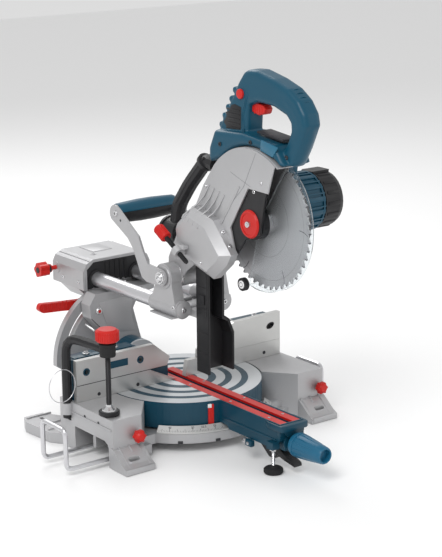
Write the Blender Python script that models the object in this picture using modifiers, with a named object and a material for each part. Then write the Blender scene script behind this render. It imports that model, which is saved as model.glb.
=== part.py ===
"""Sliding compound mitre saw: base, turntable, bevel arm, sliding carriage and pivoting head.

Lengths are in millimetres and are turned into metres by the shape helpers. In the saw's own
frame X is the operator's right, Y runs from the operator to the back, and Z is up. The
turntable turns about x = y = 0, the fence stands on y = 0 and the bench is z = 0.
"""
from math import cos, pi, radians, sin

import bmesh
import bpy
from mathutils import Matrix, Vector

MM = 0.001
GAP = 0.3                                # air left between pieces that touch

# --- driving dimensions -------------------------------------------------------------
BLADE_R = 108.0                          # a 216 mm saw blade
BLADE_C = (-226.0, 393.0)                # blade centre (y, z), head raised
MOTOR_C = (-145.0, 392.0)                # motor axis (y, z)
HINGE_C = (-28.0, 272.0)                 # head hinge (y, z)
GRIP_C = (103.0, 357.0)                  # carrying grip (y, z)
RAIL_X, RAIL_Z, RAIL_R = 42.0, 221.0, 12.5
RAIL_BORE_R = RAIL_R + GAP
RAIL_END_Y = 299.0
TABLE_TOP = 81.0
TABLE_R = 133.5
TABLE_BOTTOM = 43.0
WELL_R = TABLE_R + 2.5                   # round opening in the base for the table
ARM_HALF = 24.0
ARM_FRONT = -290.0
KNOB_FRONT = -371.0
KERF_HALF = 6.0
BASE_HALF = 217.0
BASE_FRONT = -110.0
BASE_BACK = 46.0
LEG_INNER = 162.0
FLOOR_R, FLOOR_Z = 150.0, (17.0, 32.5)
FENCE_HALF = 212.0
FENCE_THICK = 10.0
FENCE_SPLIT = 109.0                      # height between the fixed and sliding fences
BEVEL_Z = TABLE_TOP                      # the bevel axis lies in the table top
LUG_Y = (128.0, 164.7)
NECK_Y = (165.0, 193.5)
QUADRANT_Y = (196.0, 207.7)
QUADRANT_R = 130.0
LOCK_C = (-60.0, 172.0)                  # bevel clamp bolt (x, z)
HOUSING_Y = (195.0, 297.0)
HOUSING_HALF = 70.0
HOOP_WIRE_R = 4.0
HOOP_Y = (-90.0, -22.0)
HOOP_Z = (12.0, TABLE_TOP - HOOP_WIRE_R)
HOOP_LEFT_X, HOOP_RIGHT_X = -292.0, 232.0
HOOP_TAIL = 137.0                        # length of a hoop's rods inside the base
POST_XY = (-219.0, 20.0)                 # clamp post
SPINDLE_XY = (-203.0, -80.0)
GEAR_R, PINION_R = 60.0, 20.7            # pitch circles, touching between the two axes
SHELL_R = 119.0                          # upper guard outside radius
GUARD_R = 111.0                          # lower guard outside radius

# The saw is moved so that the middle of its footprint stands on the origin.
SPAN_X = (HOOP_LEFT_X - HOOP_WIRE_R, HOOP_RIGHT_X + HOOP_WIRE_R)
SPAN_Y = (KNOB_FRONT, RAIL_END_Y + 4.3)
PIVOT = Vector((-sum(SPAN_X) / 2, -sum(SPAN_Y) / 2, 0)) * MM

for old in list(bpy.data.objects):
    bpy.data.objects.remove(old, do_unlink=True)

PARTS = bpy.data.collections.new("mitre_saw")
CUTTERS = bpy.data.collections.new("cutters")
bpy.context.scene.collection.children.link(PARTS)
bpy.context.scene.collection.children.link(CUTTERS)


# --- materials ----------------------------------------------------------------------
def finish(name, colour, roughness, metallic=0.0):
    """One Principled material."""
    mat = bpy.data.materials.new(name)
    mat.use_nodes = True
    shader = mat.node_tree.nodes["Principled BSDF"]
    shader.inputs["Base Color"].default_value = (*colour, 1)
    shader.inputs["Roughness"].default_value = roughness
    shader.inputs["Metallic"].default_value = metallic
    return mat


CAST = ("cast_alloy", (0.60, 0.60, 0.61), 0.45, 0.7)
MACHINED = ("machined_alloy", (0.72, 0.73, 0.74), 0.32, 0.9)
STEEL = ("steel", (0.70, 0.70, 0.71), 0.22, 1.0)
BLUE = ("blue_plastic", (0.02, 0.16, 0.30), 0.45, 0.0)
BLACK = ("black_plastic", (0.02, 0.02, 0.02), 0.5, 0.0)
RED = ("red_plastic", (0.75, 0.04, 0.02), 0.4, 0.0)
CLEAR = ("clear_plastic", (0.75, 0.78, 0.80), 0.1, 0.0)


# --- shape helpers (millimetres in, metres out) -----------------------------------------
def axis_point(name, x, y, z):
    """An empty on a joint's axis. The pieces that turn or slide there are its children."""
    empty = bpy.data.objects.new(name, None)
    empty.location = PIVOT + Vector((x, y, z)) * MM
    empty.empty_display_size = 0.02
    PARTS.objects.link(empty)
    return empty


def new_shape(mesh):
    """A hidden building shape; solid() turns the first of a group into the visible piece."""
    shape = bpy.data.objects.new("shape", mesh)
    shape.hide_render = True
    shape.display_type = "WIRE"
    shape.location = PIVOT
    CUTTERS.objects.link(shape)
    return shape


def from_bmesh(bm):
    mesh = bpy.data.meshes.new("shape")
    bm.to_mesh(mesh)
    bm.free()
    return new_shape(mesh)


def box(low, high):
    """A box between two corners."""
    bm = bmesh.new()
    bmesh.ops.create_cube(bm, size=1)
    size = [(b - a) * MM for a, b in zip(low, high)]
    middle = Vector([(a + b) / 2 * MM for a, b in zip(low, high)])
    bmesh.ops.scale(bm, vec=size, verts=bm.verts)
    bmesh.ops.translate(bm, vec=middle, verts=bm.verts)
    return from_bmesh(bm)


def rod(start, end, radius, end_radius=None, sides=32):
    """A cylinder or cone between two points."""
    a, b = Vector(start) * MM, Vector(end) * MM
    end_radius = radius if end_radius is None else end_radius
    turn = Vector((0, 0, 1)).rotation_difference(b - a).to_matrix().to_4x4()
    bm = bmesh.new()
    bmesh.ops.create_cone(bm, cap_ends=True, segments=sides, radius1=radius * MM,
                          radius2=end_radius * MM, depth=(b - a).length,
                          matrix=Matrix.Translation((a + b) / 2) @ turn)
    return from_bmesh(bm)


def curve_mesh(curve):
    """A curve made into a closed mesh, so that it can be cut and joined."""
    holder = bpy.data.objects.new("curve", curve)
    CUTTERS.objects.link(holder)
    graph = bpy.context.evaluated_depsgraph_get()
    graph.update()
    mesh = bpy.data.meshes.new_from_object(holder.evaluated_get(graph))
    bpy.data.objects.remove(holder, do_unlink=True)
    bm = bmesh.new()
    bm.from_mesh(mesh)
    bmesh.ops.remove_doubles(bm, verts=bm.verts, dist=1e-6)
    bmesh.ops.recalc_face_normals(bm, faces=bm.faces)
    bmesh.ops.dissolve_limit(bm, angle_limit=radians(0.1), verts=bm.verts, edges=bm.edges)
    bm.to_mesh(mesh)
    bm.free()
    return mesh


PLANES = {
    "xy": Matrix(((1, 0, 0, 0), (0, 1, 0, 0), (0, 0, 1, 0), (0, 0, 0, 1))),
    "yz": Matrix(((0, 0, 1, 0), (1, 0, 0, 0), (0, 1, 0, 0), (0, 0, 0, 1))),
    "xz": Matrix(((1, 0, 0, 0), (0, 0, -1, 0), (0, 1, 0, 0), (0, 0, 0, 1))),
}
THIRD = {"xy": (0, 0, 1), "yz": (1, 0, 0), "xz": (0, 1, 0)}


def plate(plane, low, high, *outlines):
    """A flat outline in one plane, with further outlines as holes, as thick as low to high."""
    curve = bpy.data.curves.new("outline", "CURVE")
    curve.dimensions = "2D"
    curve.fill_mode = "BOTH"
    curve.extrude = (high - low) / 2 * MM
    for points in outlines:
        spline = curve.splines.new("POLY")
        spline.points.add(len(points) - 1)
        for point, (u, v) in zip(spline.points, points):
            point.co = (u * MM, v * MM, 0, 1)
        spline.use_cyclic_u = True
    mesh = curve_mesh(curve)
    middle = Vector(THIRD[plane]) * (low + high) / 2 * MM
    mesh.transform(Matrix.Translation(middle) @ PLANES[plane])
    return new_shape(mesh)


def tube(points, radius, corner=0.0, resolution=2):
    """A round wire along points, with its corners rounded."""
    path = [Vector(p) for p in points]
    if corner:
        path = round_path(path, corner)
    curve = bpy.data.curves.new("wire", "CURVE")
    curve.dimensions = "3D"
    curve.bevel_depth = radius * MM
    curve.bevel_resolution = resolution
    curve.use_fill_caps = True
    spline = curve.splines.new("POLY")
    spline.points.add(len(path) - 1)
    for point, at in zip(spline.points, path):
        point.co = (*(at * MM), 1)
    return new_shape(curve_mesh(curve))


def round_path(path, corner, steps=5):
    """Replace each inner corner by a short curve that starts `corner` away from it."""
    out = [path[0]]
    for before, at, after in zip(path, path[1:], path[2:]):
        a = at + (before - at).normalized() * corner
        b = at + (after - at).normalized() * corner
        for i in range(steps + 1):
            t = i / steps
            out.append(a * (1 - t) ** 2 + at * 2 * t * (1 - t) + b * t ** 2)
    return out + [path[-1]]


def rounded(points, corner, steps=3):
    """A closed outline with every corner rounded."""
    path = [Vector((*p, 0)) for p in points]
    loop = round_path([path[-1], *path, path[0]], corner, steps)[1:-1]
    return [(p.x, p.y) for p in loop]


def arc(centre, radius, start, end, steps=16):
    """Points on an arc, in degrees."""
    turns = [radians(start + (end - start) * i / steps) for i in range(steps + 1)]
    return [(centre[0] + radius * cos(a), centre[1] + radius * sin(a)) for a in turns]


def circle(centre, radius, sides=32):
    return arc(centre, radius, 0, 360, sides)[:-1]


def slot(centre, half_length, half_width, along=0):
    """A round-ended slot."""
    right = arc((half_length, 0), half_width, -90, 90, 6)
    left = arc((-half_length, 0), half_width, 90, 270, 6)
    c, s = cos(radians(along)), sin(radians(along))
    return [(centre[0] + x * c - y * s, centre[1] + x * s + y * c) for x, y in right + left]


def turned(profile, base, direction, sides=32):
    """A turned piece: (radius, height) points, top to bottom, spun about its own Z."""
    mesh = bpy.data.meshes.new("profile")
    points = [(r * MM, 0, h * MM) for r, h in profile]
    mesh.from_pydata(points, [(i, i + 1) for i in range(len(points) - 1)], [])
    shape = new_shape(mesh)
    turn = Vector((0, 0, 1)).rotation_difference(Vector(direction))
    shape.rotation_euler = turn.to_euler()
    shape.location = PIVOT + Vector(base) * MM
    screw = shape.modifiers.new("turn", "SCREW")
    screw.axis = "Z"
    screw.steps = screw.render_steps = sides
    screw.use_merge_vertices = True
    screw.merge_threshold = 0.0001
    return shape


def solid(name, look, axis, add, cut=(), bevel=0.0):
    """Join the shapes in `add`, cut away those in `cut`, and hang the piece on its axis."""
    piece, *others = add
    piece.name = name
    piece.data.name = name
    CUTTERS.objects.unlink(piece)
    PARTS.objects.link(piece)
    piece.hide_render = False
    piece.display_type = "TEXTURED"
    piece.data.materials.clear()
    piece.data.materials.append(finish(name, *look[1:]))
    for group, operation in ((others, "UNION"), (cut, "DIFFERENCE")):
        for other in group:
            other.name = f"{name}_{operation.lower()}"
            mod = piece.modifiers.new(operation.lower(), "BOOLEAN")
            mod.operation = operation
            mod.solver = "EXACT"
            mod.object = other
    if bevel:
        mod = piece.modifiers.new("edges", "BEVEL")
        mod.width = bevel * MM
        mod.segments = 1
        mod.limit_method = "ANGLE"
        mod.angle_limit = radians(50)
    world = piece.matrix_basis.copy()
    piece.parent = axis
    piece.matrix_parent_inverse = Matrix.Translation(-axis.location)
    piece.matrix_basis = world
    if piece.data.polygons:
        piece.data.shade_smooth()
        piece.data.set_sharp_from_angle(angle=radians(35))
    return piece


# --- base -----------------------------------------------------------------------------
def wing_outline(side):
    """The top of one side of the base: straight outside, hollow where the table turns."""
    bow = arc((0, 0), WELL_R, 180 + 26, 180 - 20, 12)
    outer = [(-BASE_HALF, BASE_BACK), (-BASE_HALF, BASE_FRONT), (-LEG_INNER, BASE_FRONT)]
    return [(-side * x, y) for x, y in outer + bow + [(-128, BASE_BACK)]]


def base_side(side):
    """Wing, legs, feet and hoop guides of one side, as shapes to join."""
    def flip(points):
        return [(-side * x, y) for x, y in points]

    def side_box(x0, x1, y0, y1, z0, z1):
        xs = sorted((-side * x0, -side * x1))
        return box((xs[0], y0, z0), (xs[1], y1, z1))

    front_leg = [(-217, -110), (-162, -110), (-122.2, -60), (-129, -56), (-165, -97), (-217, -97)]
    rear_leg = [(-217, 2), (-151, 2), (-143, BASE_BACK), (-217, BASE_BACK)]
    rear_foot = [(-216, 38), (-231, 60), (-236, 128), (-226, 150), (-190, 150), (-172, 118),
                 (-172, 38)]
    front_foot = [(-148, 0), (-105, 0), (-105, 36), (-114, 33), (-138, 14), (-148, 9)]
    xs = sorted((side * 218, side * 162.5))
    add = [
        plate("xy", 0, 66, flip(front_leg)),
        plate("xy", 0, 66, flip(rear_leg)),
        side_box(-217, -211, -98, 40, 42, 64),
        side_box(-208, -128, -46, -38, 16, 64),
        side_box(-156, -96, 6, 42, 14, 32),
        side_box(-150, -94, -88, -62, 15, 32),
        side_box(-166, -134, -97, -14, 5, 20),
        plate("yz", xs[0], xs[1], front_foot),
        plate("xy", 0, 18, flip(rear_foot)),
    ]
    cut = [
        plate("xy", -1, 40, slot((side * 192, -131), 7, 3.2)),
        plate("xy", -1, 40, slot((side * 205, 122), 7, 3.2, 90)),
    ]
    for y in HOOP_Y:
        start, end = side * 90, side * 240
        cut.append(rod((start, y, HOOP_Z[0]), (end, y, HOOP_Z[0]), HOOP_WIRE_R + GAP, sides=16))
    return add, cut


def build_base(axis):
    left_add, left_cut = base_side(-1)
    right_add, right_cut = base_side(1)
    wings = [plate("xy", 58, TABLE_TOP, wing_outline(side)) for side in (-1, 1)]
    floor = rod((0, 0, FLOOR_Z[0]), (0, 0, FLOOR_Z[1]), FLOOR_R, sides=72)
    boss = rod((0, 0, 30), (0, 0, TABLE_BOTTOM - GAP), 45)
    bolt_hole = rod((0, 0, 5), (0, 0, 50), 6 + GAP)
    post_boss = rod((*POST_XY, 60), (*POST_XY, 79), 11)
    post_hole = rod((*POST_XY, 48), (*POST_XY, 90), 7.7 + GAP)
    solid("base_casting", CAST, axis,
          [floor, boss, *wings, *left_add, *right_add, post_boss],
          [*left_cut, *right_cut, bolt_hole, post_hole])
    scale = arc((0, 0), 137, 217, 323, 24) + arc((0, 0), 149, 323, 217, 24)
    solid("mitre_scale", MACHINED, axis, [plate("xy", FLOOR_Z[1] + GAP, 34.8, scale)])


def fence_casting(name, axis, x0, x1, end_x):
    """The open-backed casting behind one fence: wall, top, foot and end plate."""
    y0, y1 = FENCE_THICK + GAP, 46
    low, high = TABLE_TOP + GAP, 149
    ends = sorted((end_x, end_x + (6 if end_x < 0 else -6)))
    solid(name, BLUE, axis, [
        box((x0, y0, low), (x1, y0 + 7, high)),
        box((x0, y0, high - 6), (x1, y1, high)),
        box((x0, y0, low), (x1, y1, low + 7)),
        box((ends[0], y0, low), (ends[1], y1, high)),
    ])


def build_fences(axis, left_slide, right_slide):
    low, split, edge = TABLE_TOP + GAP, FENCE_SPLIT, FENCE_HALF
    fence_casting("fence_casting_left", axis, -210, -84, -210)
    fence_casting("fence_casting_right", axis, 84, 210, 210)
    left_face = [(-edge, low), (-14, low), (-70, split - GAP), (-edge, split - GAP)]
    right_face = [(5, low), (edge, low), (edge, split - GAP), (10, split - GAP)]
    left_top = [(-edge, split), (-33, split), (-27, 124), (-60, 151), (-edge, 151)]
    right_top = [(33, split), (edge, split), (edge, 159.5), (110, 157.5), (34, 123)]
    holes = [circle((x, 130), 5.5, 16) for x in (-193, -87)]
    window = slot((190, 137), 5, 4, 20)
    solid("fence_face_left", MACHINED, axis, [plate("xz", 0, FENCE_THICK, left_face)])
    solid("fence_face_right", MACHINED, axis, [plate("xz", 0, FENCE_THICK, right_face)])
    solid("subfence_left", MACHINED, left_slide,
          [plate("xz", 0, FENCE_THICK, left_top, *holes)])
    solid("subfence_right", MACHINED, right_slide,
          [plate("xz", 0, FENCE_THICK, right_top, window)])


def build_hoop(name, axis, x, side):
    """A U of wire on two rods that slide in the base."""
    tail = x - side * HOOP_TAIL
    y0, y1 = HOOP_Y
    z0, z1 = HOOP_Z
    path = [(tail, y0, z0), (x, y0, z0), (x, y0, z1), (x, y1, z1), (x, y1, z0), (tail, y1, z0)]
    solid(name, STEEL, axis, [tube(path, HOOP_WIRE_R, corner=12)])


def build_hoop_knob(name, axis, x):
    """A small ball-shaped clamping knob on the front of a leg."""
    base = (x, BASE_FRONT - GAP, 50)
    profile = [(0, 19), (6, 18), (9.6, 13), (9, 6), (4, 3), (4, 0), (0, 0)]
    solid(name, RED, axis, [turned(profile, base, (0, -1, 0), 16)])


def build_clamp(post_axis, feed_axis):
    px, py = POST_XY
    sx, sy = SPINDLE_XY
    bend = tube([(px, py, 53), (px, py, 192), (sx, sy, 189)], 7.7, corner=34, resolution=3)
    collar = rod((sx, sy, 179), (sx, sy, 200), 12.5)
    bore = rod((sx, sy, 170), (sx, sy, 210), 4.5 + GAP, sides=20)
    solid("clamp_post", BLACK, post_axis, [bend, collar], [bore])
    knob = [(0, 224), (16, 223), (19, 219), (19, 207), (16, 203), (8, 202), (8, 200.6),
            (4.5, 200.5), (4.5, 97), (9, 93), (9, 90), (17, 88), (17, 82), (0, 82)]
    solid("clamp_spindle", RED, feed_axis, [turned(knob, (sx, sy, 0), (0, 0, 1), 24)])


# --- turntable ---------------------------------------------------------------------------
def build_turntable(axis):
    top, bottom = TABLE_TOP, TABLE_BOTTOM
    disc = rod((0, 0, bottom), (0, 0, top), TABLE_R, sides=72)
    arm = plate("yz", -ARM_HALF, ARM_HALF,
                [(-120, 44), (-154, 44), (-158, 38), (-256, 38), (-264, 50), (-284, 50), (ARM_FRONT, 57),
                 (ARM_FRONT, top), (-120, top)])
    knob_boss = box((-13, ARM_FRONT + 1, 36), (13, -252, 52))
    foot_boss = box((-34, -284, 40), (-20, -268, 52))
    lug = plate("xz", *LUG_Y, arc((0, BEVEL_Z), 36, 0, 180, 16) + [(-42, 36), (42, 36)])
    beam = box((-45, 105, 34), (45, QUADRANT_Y[0] - GAP, 46))
    recess = box((-20.3, -285.3, 77), (20.3, 58.3, top + 5))
    kerf = box((-KERF_HALF, -280, 60), (KERF_HALF, 54, top + 5))
    pin_hole = rod((0, 140, BEVEL_Z), (0, 170, BEVEL_Z), 12 + GAP)
    bolt_hole = rod((0, 0, 40), (0, 0, 55), 6 + GAP)
    stem_hole = rod((-27, -277, 30), (-27, -277, 50), 3.3, sides=16)
    solid("turntable", BLUE, axis, [disc, arm, knob_boss, foot_boss, lug, beam],
          [recess, kerf, pin_hole, bolt_hole, stem_hole])
    for name, x0, x1 in (("kerf_insert_left", -20, -KERF_HALF),
                         ("kerf_insert_right", KERF_HALF, 20)):
        solid(name, RED, axis, [box((x0, -285, 77.3), (x1, 58, top))])
    flag = arc((0, 0), TABLE_R + GAP, 248, 252, 2) + arc((0, 0), TABLE_R + 1.6, 252, 248, 2)
    solid("mitre_pointer", RED, axis, [plate("xy", 45, 75, flag)])
    bolt = [(0, 50), (6, 50), (6, 16.5), (12, 16.5), (12, 9), (0, 9)]
    solid("pivot_bolt", STEEL, axis, [turned(bolt, (0, 0, 0), (0, 0, 1), 24)])


def build_quadrant(axis):
    """The plate behind the neck whose curved slot the bevel clamp bolt runs in."""
    centre = (0, BEVEL_Z)
    outline = arc(centre, QUADRANT_R, 112, 182, 20)
    outline += [(-84, 46), (-50, 34), (45, 34), (45, 104), (10, 128)]
    curved = arc(centre, 104.2, 117.5, 173, 18) + arc(centre, 114, 173, 117.5, 18)
    solid("bevel_quadrant", CAST, axis,
          [plate("xz", *QUADRANT_Y, outline, curved, circle(centre, 12 + GAP, 24))])
    pin = [(0, 216), (10, 216), (18, 213), (18, 208), (12, 208), (12, 141), (0, 141)]
    solid("bevel_pin", STEEL, axis, [turned(pin, (0, 0, BEVEL_Z), (0, 1, 0), 32)])


def build_controls(knob_axis, lever_axis, foot_axis):
    """Mitre lock knob, detent lever and adjustable foot on the table's arm."""
    knob = [(0, 80.5), (11, 80.7), (13.5, 78), (15, 66), (19, 22), (18.5, 12), (12, 8), (8, 7.5),
            (8, GAP), (0, GAP)]
    solid("mitre_knob", BLUE, knob_axis, [turned(knob, (0, ARM_FRONT, 49), (0, -1, 0), 32)])
    lever = plate("yz", -8, 8, [(-216, 32), (-246, 36.8), (-251, 35.4), (-262, 35.4), (-283, 24), (-305, 17),
                                (-306, 12), (-280, 16), (-262, 20), (-254, 12), (-242, 12)])
    solid("detent_lever", BLACK, lever_axis, [lever], bevel=0.8)
    foot = [(0, 49), (3, 49), (3, 12), (5, 9), (15, 8), (15.5, 6), (15, GAP), (0, GAP)]
    solid("arm_foot", BLACK, foot_axis, [turned(foot, (-27, -277, 0), (0, 0, 1), 24)])


# --- bevel arm -----------------------------------------------------------------------------
def rail_holes(y0, y1):
    return [rod((x, y0, RAIL_Z), (x, y1, RAIL_Z), RAIL_BORE_R) for x in (-RAIL_X, RAIL_X)]


def build_bevel_arm(axis):
    hub = arc((0, BEVEL_Z), 34, 170, 370, 20)
    outline = hub + [(24, 120), (12, 165), (24, 188), (58, 194), (58, 203), (-66, 203), (-78, 184),
                     (-76, 160), (-46, 125)]
    shoulder = box((29, NECK_Y[1] - 4, 184), (58, 212, 203))
    solid("bevel_neck", CAST, axis, [plate("xz", *NECK_Y, outline), shoulder],
          [rod((0, 160, BEVEL_Z), (0, 200, BEVEL_Z), 12 + GAP),
           rod((LOCK_C[0], 160, LOCK_C[1]), (LOCK_C[0], 200, LOCK_C[1]), 4 + GAP, sides=20)])

    y0, y1 = HOUSING_Y
    half = HOUSING_HALF
    shell = [(-half, 203.4), (-half, 238), (-64, 250), (-50, 257), (50, 257), (64, 250), (half, 238),
             (half, 203.4)]
    tail = [(-66, 205), (-40, 178), (26, 178), (28, 205)]
    recess = [(-63, 190), (-63, 240), (-49, 252), (49, 252), (63, 240), (63, 190)]
    arch = rod((0, y0 - 5, BEVEL_Z), (0, 209, BEVEL_Z), QUADRANT_R + 1.8, sides=96)
    solid("rail_housing", CAST, axis,
          [plate("xz", y0, y1, shell), plate("xz", 230, y1 - 8, tail)],
          [arch, plate("xz", y0 - 5, 204, recess), *rail_holes(y0 - 5, y1 + 5)])
    insert = [(-62.7, 204), (-62.7, 239.8), (-48.8, 251.7), (48.8, 251.7), (62.7, 239.8),
              (62.7, 204)]
    arch = rod((0, y0 - 5, BEVEL_Z), (0, 209, BEVEL_Z), QUADRANT_R + 4, sides=96)
    solid("housing_insert", BLACK, axis, [plate("xz", 197, 204 - GAP, insert)],
          [arch, *rail_holes(y0 - 5, 210)])


def build_bevel_lever(axis):
    x, z = LOCK_C
    bolt = rod((x, 162, z), (x, 214, z), 4, sides=20)
    hub = rod((x, 211, z), (x, 226, z), 11, sides=24)
    grip = plate("xz", 217, 227, rounded([(x + 6, z - 9), (x + 6, z + 9), (-100, 184), (-146, 188),
                                          (-150, 178), (-142, 171), (-100, 168)], 4))
    solid("bevel_lever", RED, axis, [hub, grip, bolt])


def build_slide_lock(axis):
    """Star knob whose bolt clamps a rail in the housing."""
    x = -HOUSING_HALF - GAP
    star = []
    for i in range(25):
        a = 2 * pi * (i + 0.5) / 25
        radius = 12 + 1.6 * cos(5 * a)
        star.append((285 + radius * cos(a), 229 + radius * sin(a)))
    bolt = rod((x, 285, 229), (x - 14, 285, 229), 4, sides=16)
    collar = rod((x - 12, 285, 229), (x - 24, 285, 229), 7.5, sides=18)
    solid("slide_lock_knob", RED, axis, [plate("yz", x - 38, x - 20, star), collar, bolt])


# --- carriage --------------------------------------------------------------------------------
def build_rails(axis):
    for name, x in (("rail_left", -RAIL_X), ("rail_right", RAIL_X)):
        rail = rod((x, -50, RAIL_Z), (x, RAIL_END_Y, RAIL_Z), RAIL_R)
        solid(name, STEEL, axis, [rail])
    solid("rail_end_plate", BLACK, axis,
          [plate("xz", RAIL_END_Y + GAP, RAIL_END_Y + 4.3, slot((0, RAIL_Z), RAIL_X, 13))])


def build_carriage(axis):
    y0, y1 = -62, 16
    hy, hz = HINGE_C
    sleeves = [rod((x, y0, RAIL_Z), (x, y1, RAIL_Z), 15.5) for x in (-RAIL_X, RAIL_X)]
    web = box((-RAIL_X, y0 + 4, 208), (RAIL_X, y1 - 4, 219))
    nose = box((-24, -74.7, 207), (8, y0 + 8, 219))
    lugs = []
    for x0, x1 in ((-56, -36), (36, 56)):
        outline = arc(HINGE_C, 23, -20, 200, 18) + [(-60, 222), (12, 222)]
        lugs.append(plate("yz", x0, x1, outline))
    pin_hole = rod((-70, hy, hz), (70, hy, hz), 8 + GAP)
    bores = rail_holes(-50 - GAP, y1 + 5)
    solid("carriage", CAST, axis, [web, *sleeves, nose, *lugs], [pin_hole, *bores])


def build_duct(axis):
    """The dust chute that hangs behind the blade: an open channel facing the cut."""
    outside = [(-25, 117), (28, 117), (28, 182), (18, 206), (8, 212), (8, 305), (-25, 305)]
    inside = [(-21, 100), (24, 100), (24, 180), (15, 202), (4, 208), (4, 300), (-21, 300)]
    solid("dust_duct", BLACK, axis, [plate("xz", -107, -75, outside)],
          [plate("xz", -115, -79, inside)])


# --- head ----------------------------------------------------------------------------------------
def build_head_casting(axis):
    """Knuckle, cheek and gear case in one casting, open to the right for the gears."""
    by, bz = BLADE_C
    my, mz = MOTOR_C
    hy, hz = HINGE_C
    case = arc(BLADE_C, 64, 95, 270, 24) + arc(MOTOR_C, 34, 300, 450, 12)
    cavity = circle(BLADE_C, GEAR_R + 1.5, 48)
    pinion_room = circle(MOTOR_C, PINION_R + 4, 32)
    cheek = [(-36.4, 258.4), (-118, 308), (-200, 330), (-190, 360), (-125, 400), (-92, 380),
             (-60, 330), (-18.6, 287.4)]
    solid("head_casting", CAST, axis,
          [plate("yz", 12, 34, case), plate("yz", 12, 34, cheek),
           rod((-30.5, hy, hz), (34, hy, hz), 20)],
          [plate("yz", 15.5, 40, cavity), plate("yz", 15.5, 40, pinion_room),
           rod((-40, hy, hz), (40, hy, hz), 8 + GAP), rod((5, by, bz), (20, by, bz), 8 + GAP)])
    solid("gear_cover", BLACK, axis, [plate("yz", 34 + GAP, 38, case)],
          [rod((30, my, mz), (45, my, mz), 5 + GAP)])
    pin = [(0, 66), (10, 66), (11, 65), (11, 62.8), (8, 62.8), (8, -62.8), (11, -62.8), (11, -65),
           (10, -66), (0, -66)]
    solid("hinge_pin", STEEL, axis, [turned(pin, (0, hy, hz), (1, 0, 0), 20)])


def build_upper_guard(axis):
    """Side plate with its hinge ear, the rim over the blade, and the boxed lower part."""
    face = arc(BLADE_C, SHELL_R - 1, 122, 42, 16)
    face += [(-111, 437), (-88, 398), (-46, 360), (-12, 300)]
    face += arc(HINGE_C, 20, 35, -110, 10)
    face += [(-62, 286), (-104, 316), (-150, 316), (-181, 327), (-192, 340), (-180, 380),
             (-225, 449), (-273, 448)]
    ear_hole = circle(HINGE_C, 8 + GAP, 24)
    rim = arc(BLADE_C, SHELL_R, 125, 8, 26) + arc(BLADE_C, SHELL_R - 2.5, 8, 125, 26)
    block = [(-153, 293), (-187, 322), (-198, 340), (-152, 388), (-98, 402), (-56, 366),
             (-64, 324), (-100, 307)]
    hollow = [(-147, 323), (-170, 335), (-148, 371), (-103, 386), (-71, 359), (-77, 329)]
    solid("upper_guard", CAST, axis,
          [plate("yz", -34.5, -31, face, ear_hole), plate("yz", -32, 11.7, rim),
           plate("yz", -60, -33, block)],
          [plate("yz", -56, -25, hollow)])


def build_guard_bracket(axis):
    by, bz = BLADE_C
    cover = [(-176, 318), (-158, 318), (-150, 350), (-178, 420), (-215, 458), (-268, 456),
             (-256, 410), (-250, 380), (-214, 366)]
    solid("guard_bracket", BLACK, axis, [plate("yz", -30.7, -27, cover)])
    hub = [(0, 26.7), (20, 26.7), (26, 25), (26, 12), (0, 12)]
    solid("guard_hub", BLACK, axis, [turned(hub, (0, by, bz), (-1, 0, 0), 28)])
    cap = [(0, 37), (4.5, 37), (4.5, 34), (21, 33.5), (22.5, 32), (22.5, 31), (0, 31)]
    solid("hub_cap", RED, axis, [turned(cap, (0, by, bz), (-1, 0, 0), 28)])


def build_blade_group(axis):
    by, bz = BLADE_C
    shaft = [(0, 31), (8, 31), (8, 29.3), (GEAR_R - GAP, 29.3), (GEAR_R - GAP, 17), (8, 17),
             (8, 8), (20, 8), (20, 1.5), (8, 1.5), (8, -11.5), (0, -11.5)]
    solid("arbor", STEEL, axis, [turned(shaft, (0, by, bz), (1, 0, 0), 36)])
    solid("saw_blade", STEEL, axis,
          [plate("yz", -1.2, 1.2, circle(BLADE_C, BLADE_R, 72), circle(BLADE_C, 8 + GAP, 24))])
    solid("blade_flange", STEEL, axis,
          [plate("yz", -8, -1.5, circle(BLADE_C, 20, 32), circle(BLADE_C, 8 + GAP, 24))])


def build_lower_guard(axis, roller_axis):
    """Clear guard: two side sheets and a rim over the front half of the blade."""
    start, end = 123, 286
    sheet = arc(BLADE_C, GUARD_R, start, end, 24) + arc(BLADE_C, 27, end, start, 10)
    rim = arc(BLADE_C, GUARD_R, start, end, 24) + arc(BLADE_C, GUARD_R - 1.8, end, start, 24)
    solid("lower_guard", CLEAR, axis,
          [plate("yz", -10.5, -8.7, sheet), plate("yz", 8.7, 10.5, sheet),
           plate("yz", -9.5, 9.5, rim)])
    y, z = -189, 287
    profile = [(0, 21), (4, 21), (4, 19.5), (10.5, 19.5), (10.5, 12), (0, 12)]
    solid("guard_roller", BLACK, roller_axis, [turned(profile, (0, y, z), (-1, 0, 0), 20)])


def build_motor(axis, rotor_axis):
    my, mz = MOTOR_C
    body = turned([(0, 152), (47, 152), (48, 41), (46, 38.4), (0, 38.4)], (0, my, mz), (1, 0, 0), 32)
    solid("motor_housing", BLUE, axis, [body],
          [rod((46, my, mz), (160, my, mz), 42), rod((30, my, mz), (50, my, mz), 8)])
    cap = turned([(0, 197), (36, 197), (44, 192), (47, 184), (47, 152.3), (42, 152.3), (42, 188),
                  (0, 188)], (0, my, mz), (1, 0, 0), 32)
    ridge = box((152.3, my - 14, mz + 43), (186, my + 14, mz + 49.5))
    solid("motor_cap", BLACK, axis, [cap, ridge])
    rotor = [(0, 180), (5, 180), (5, 165), (14, 165), (14, 140), (5, 140), (5, 122), (30, 122),
             (30, 56), (5, 56), (5, 29.3), (PINION_R - GAP, 29.3), (PINION_R - GAP, 17), (0, 17)]
    solid("armature", STEEL, rotor_axis, [turned(rotor, (0, my, mz), (1, 0, 0), 24)])


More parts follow.
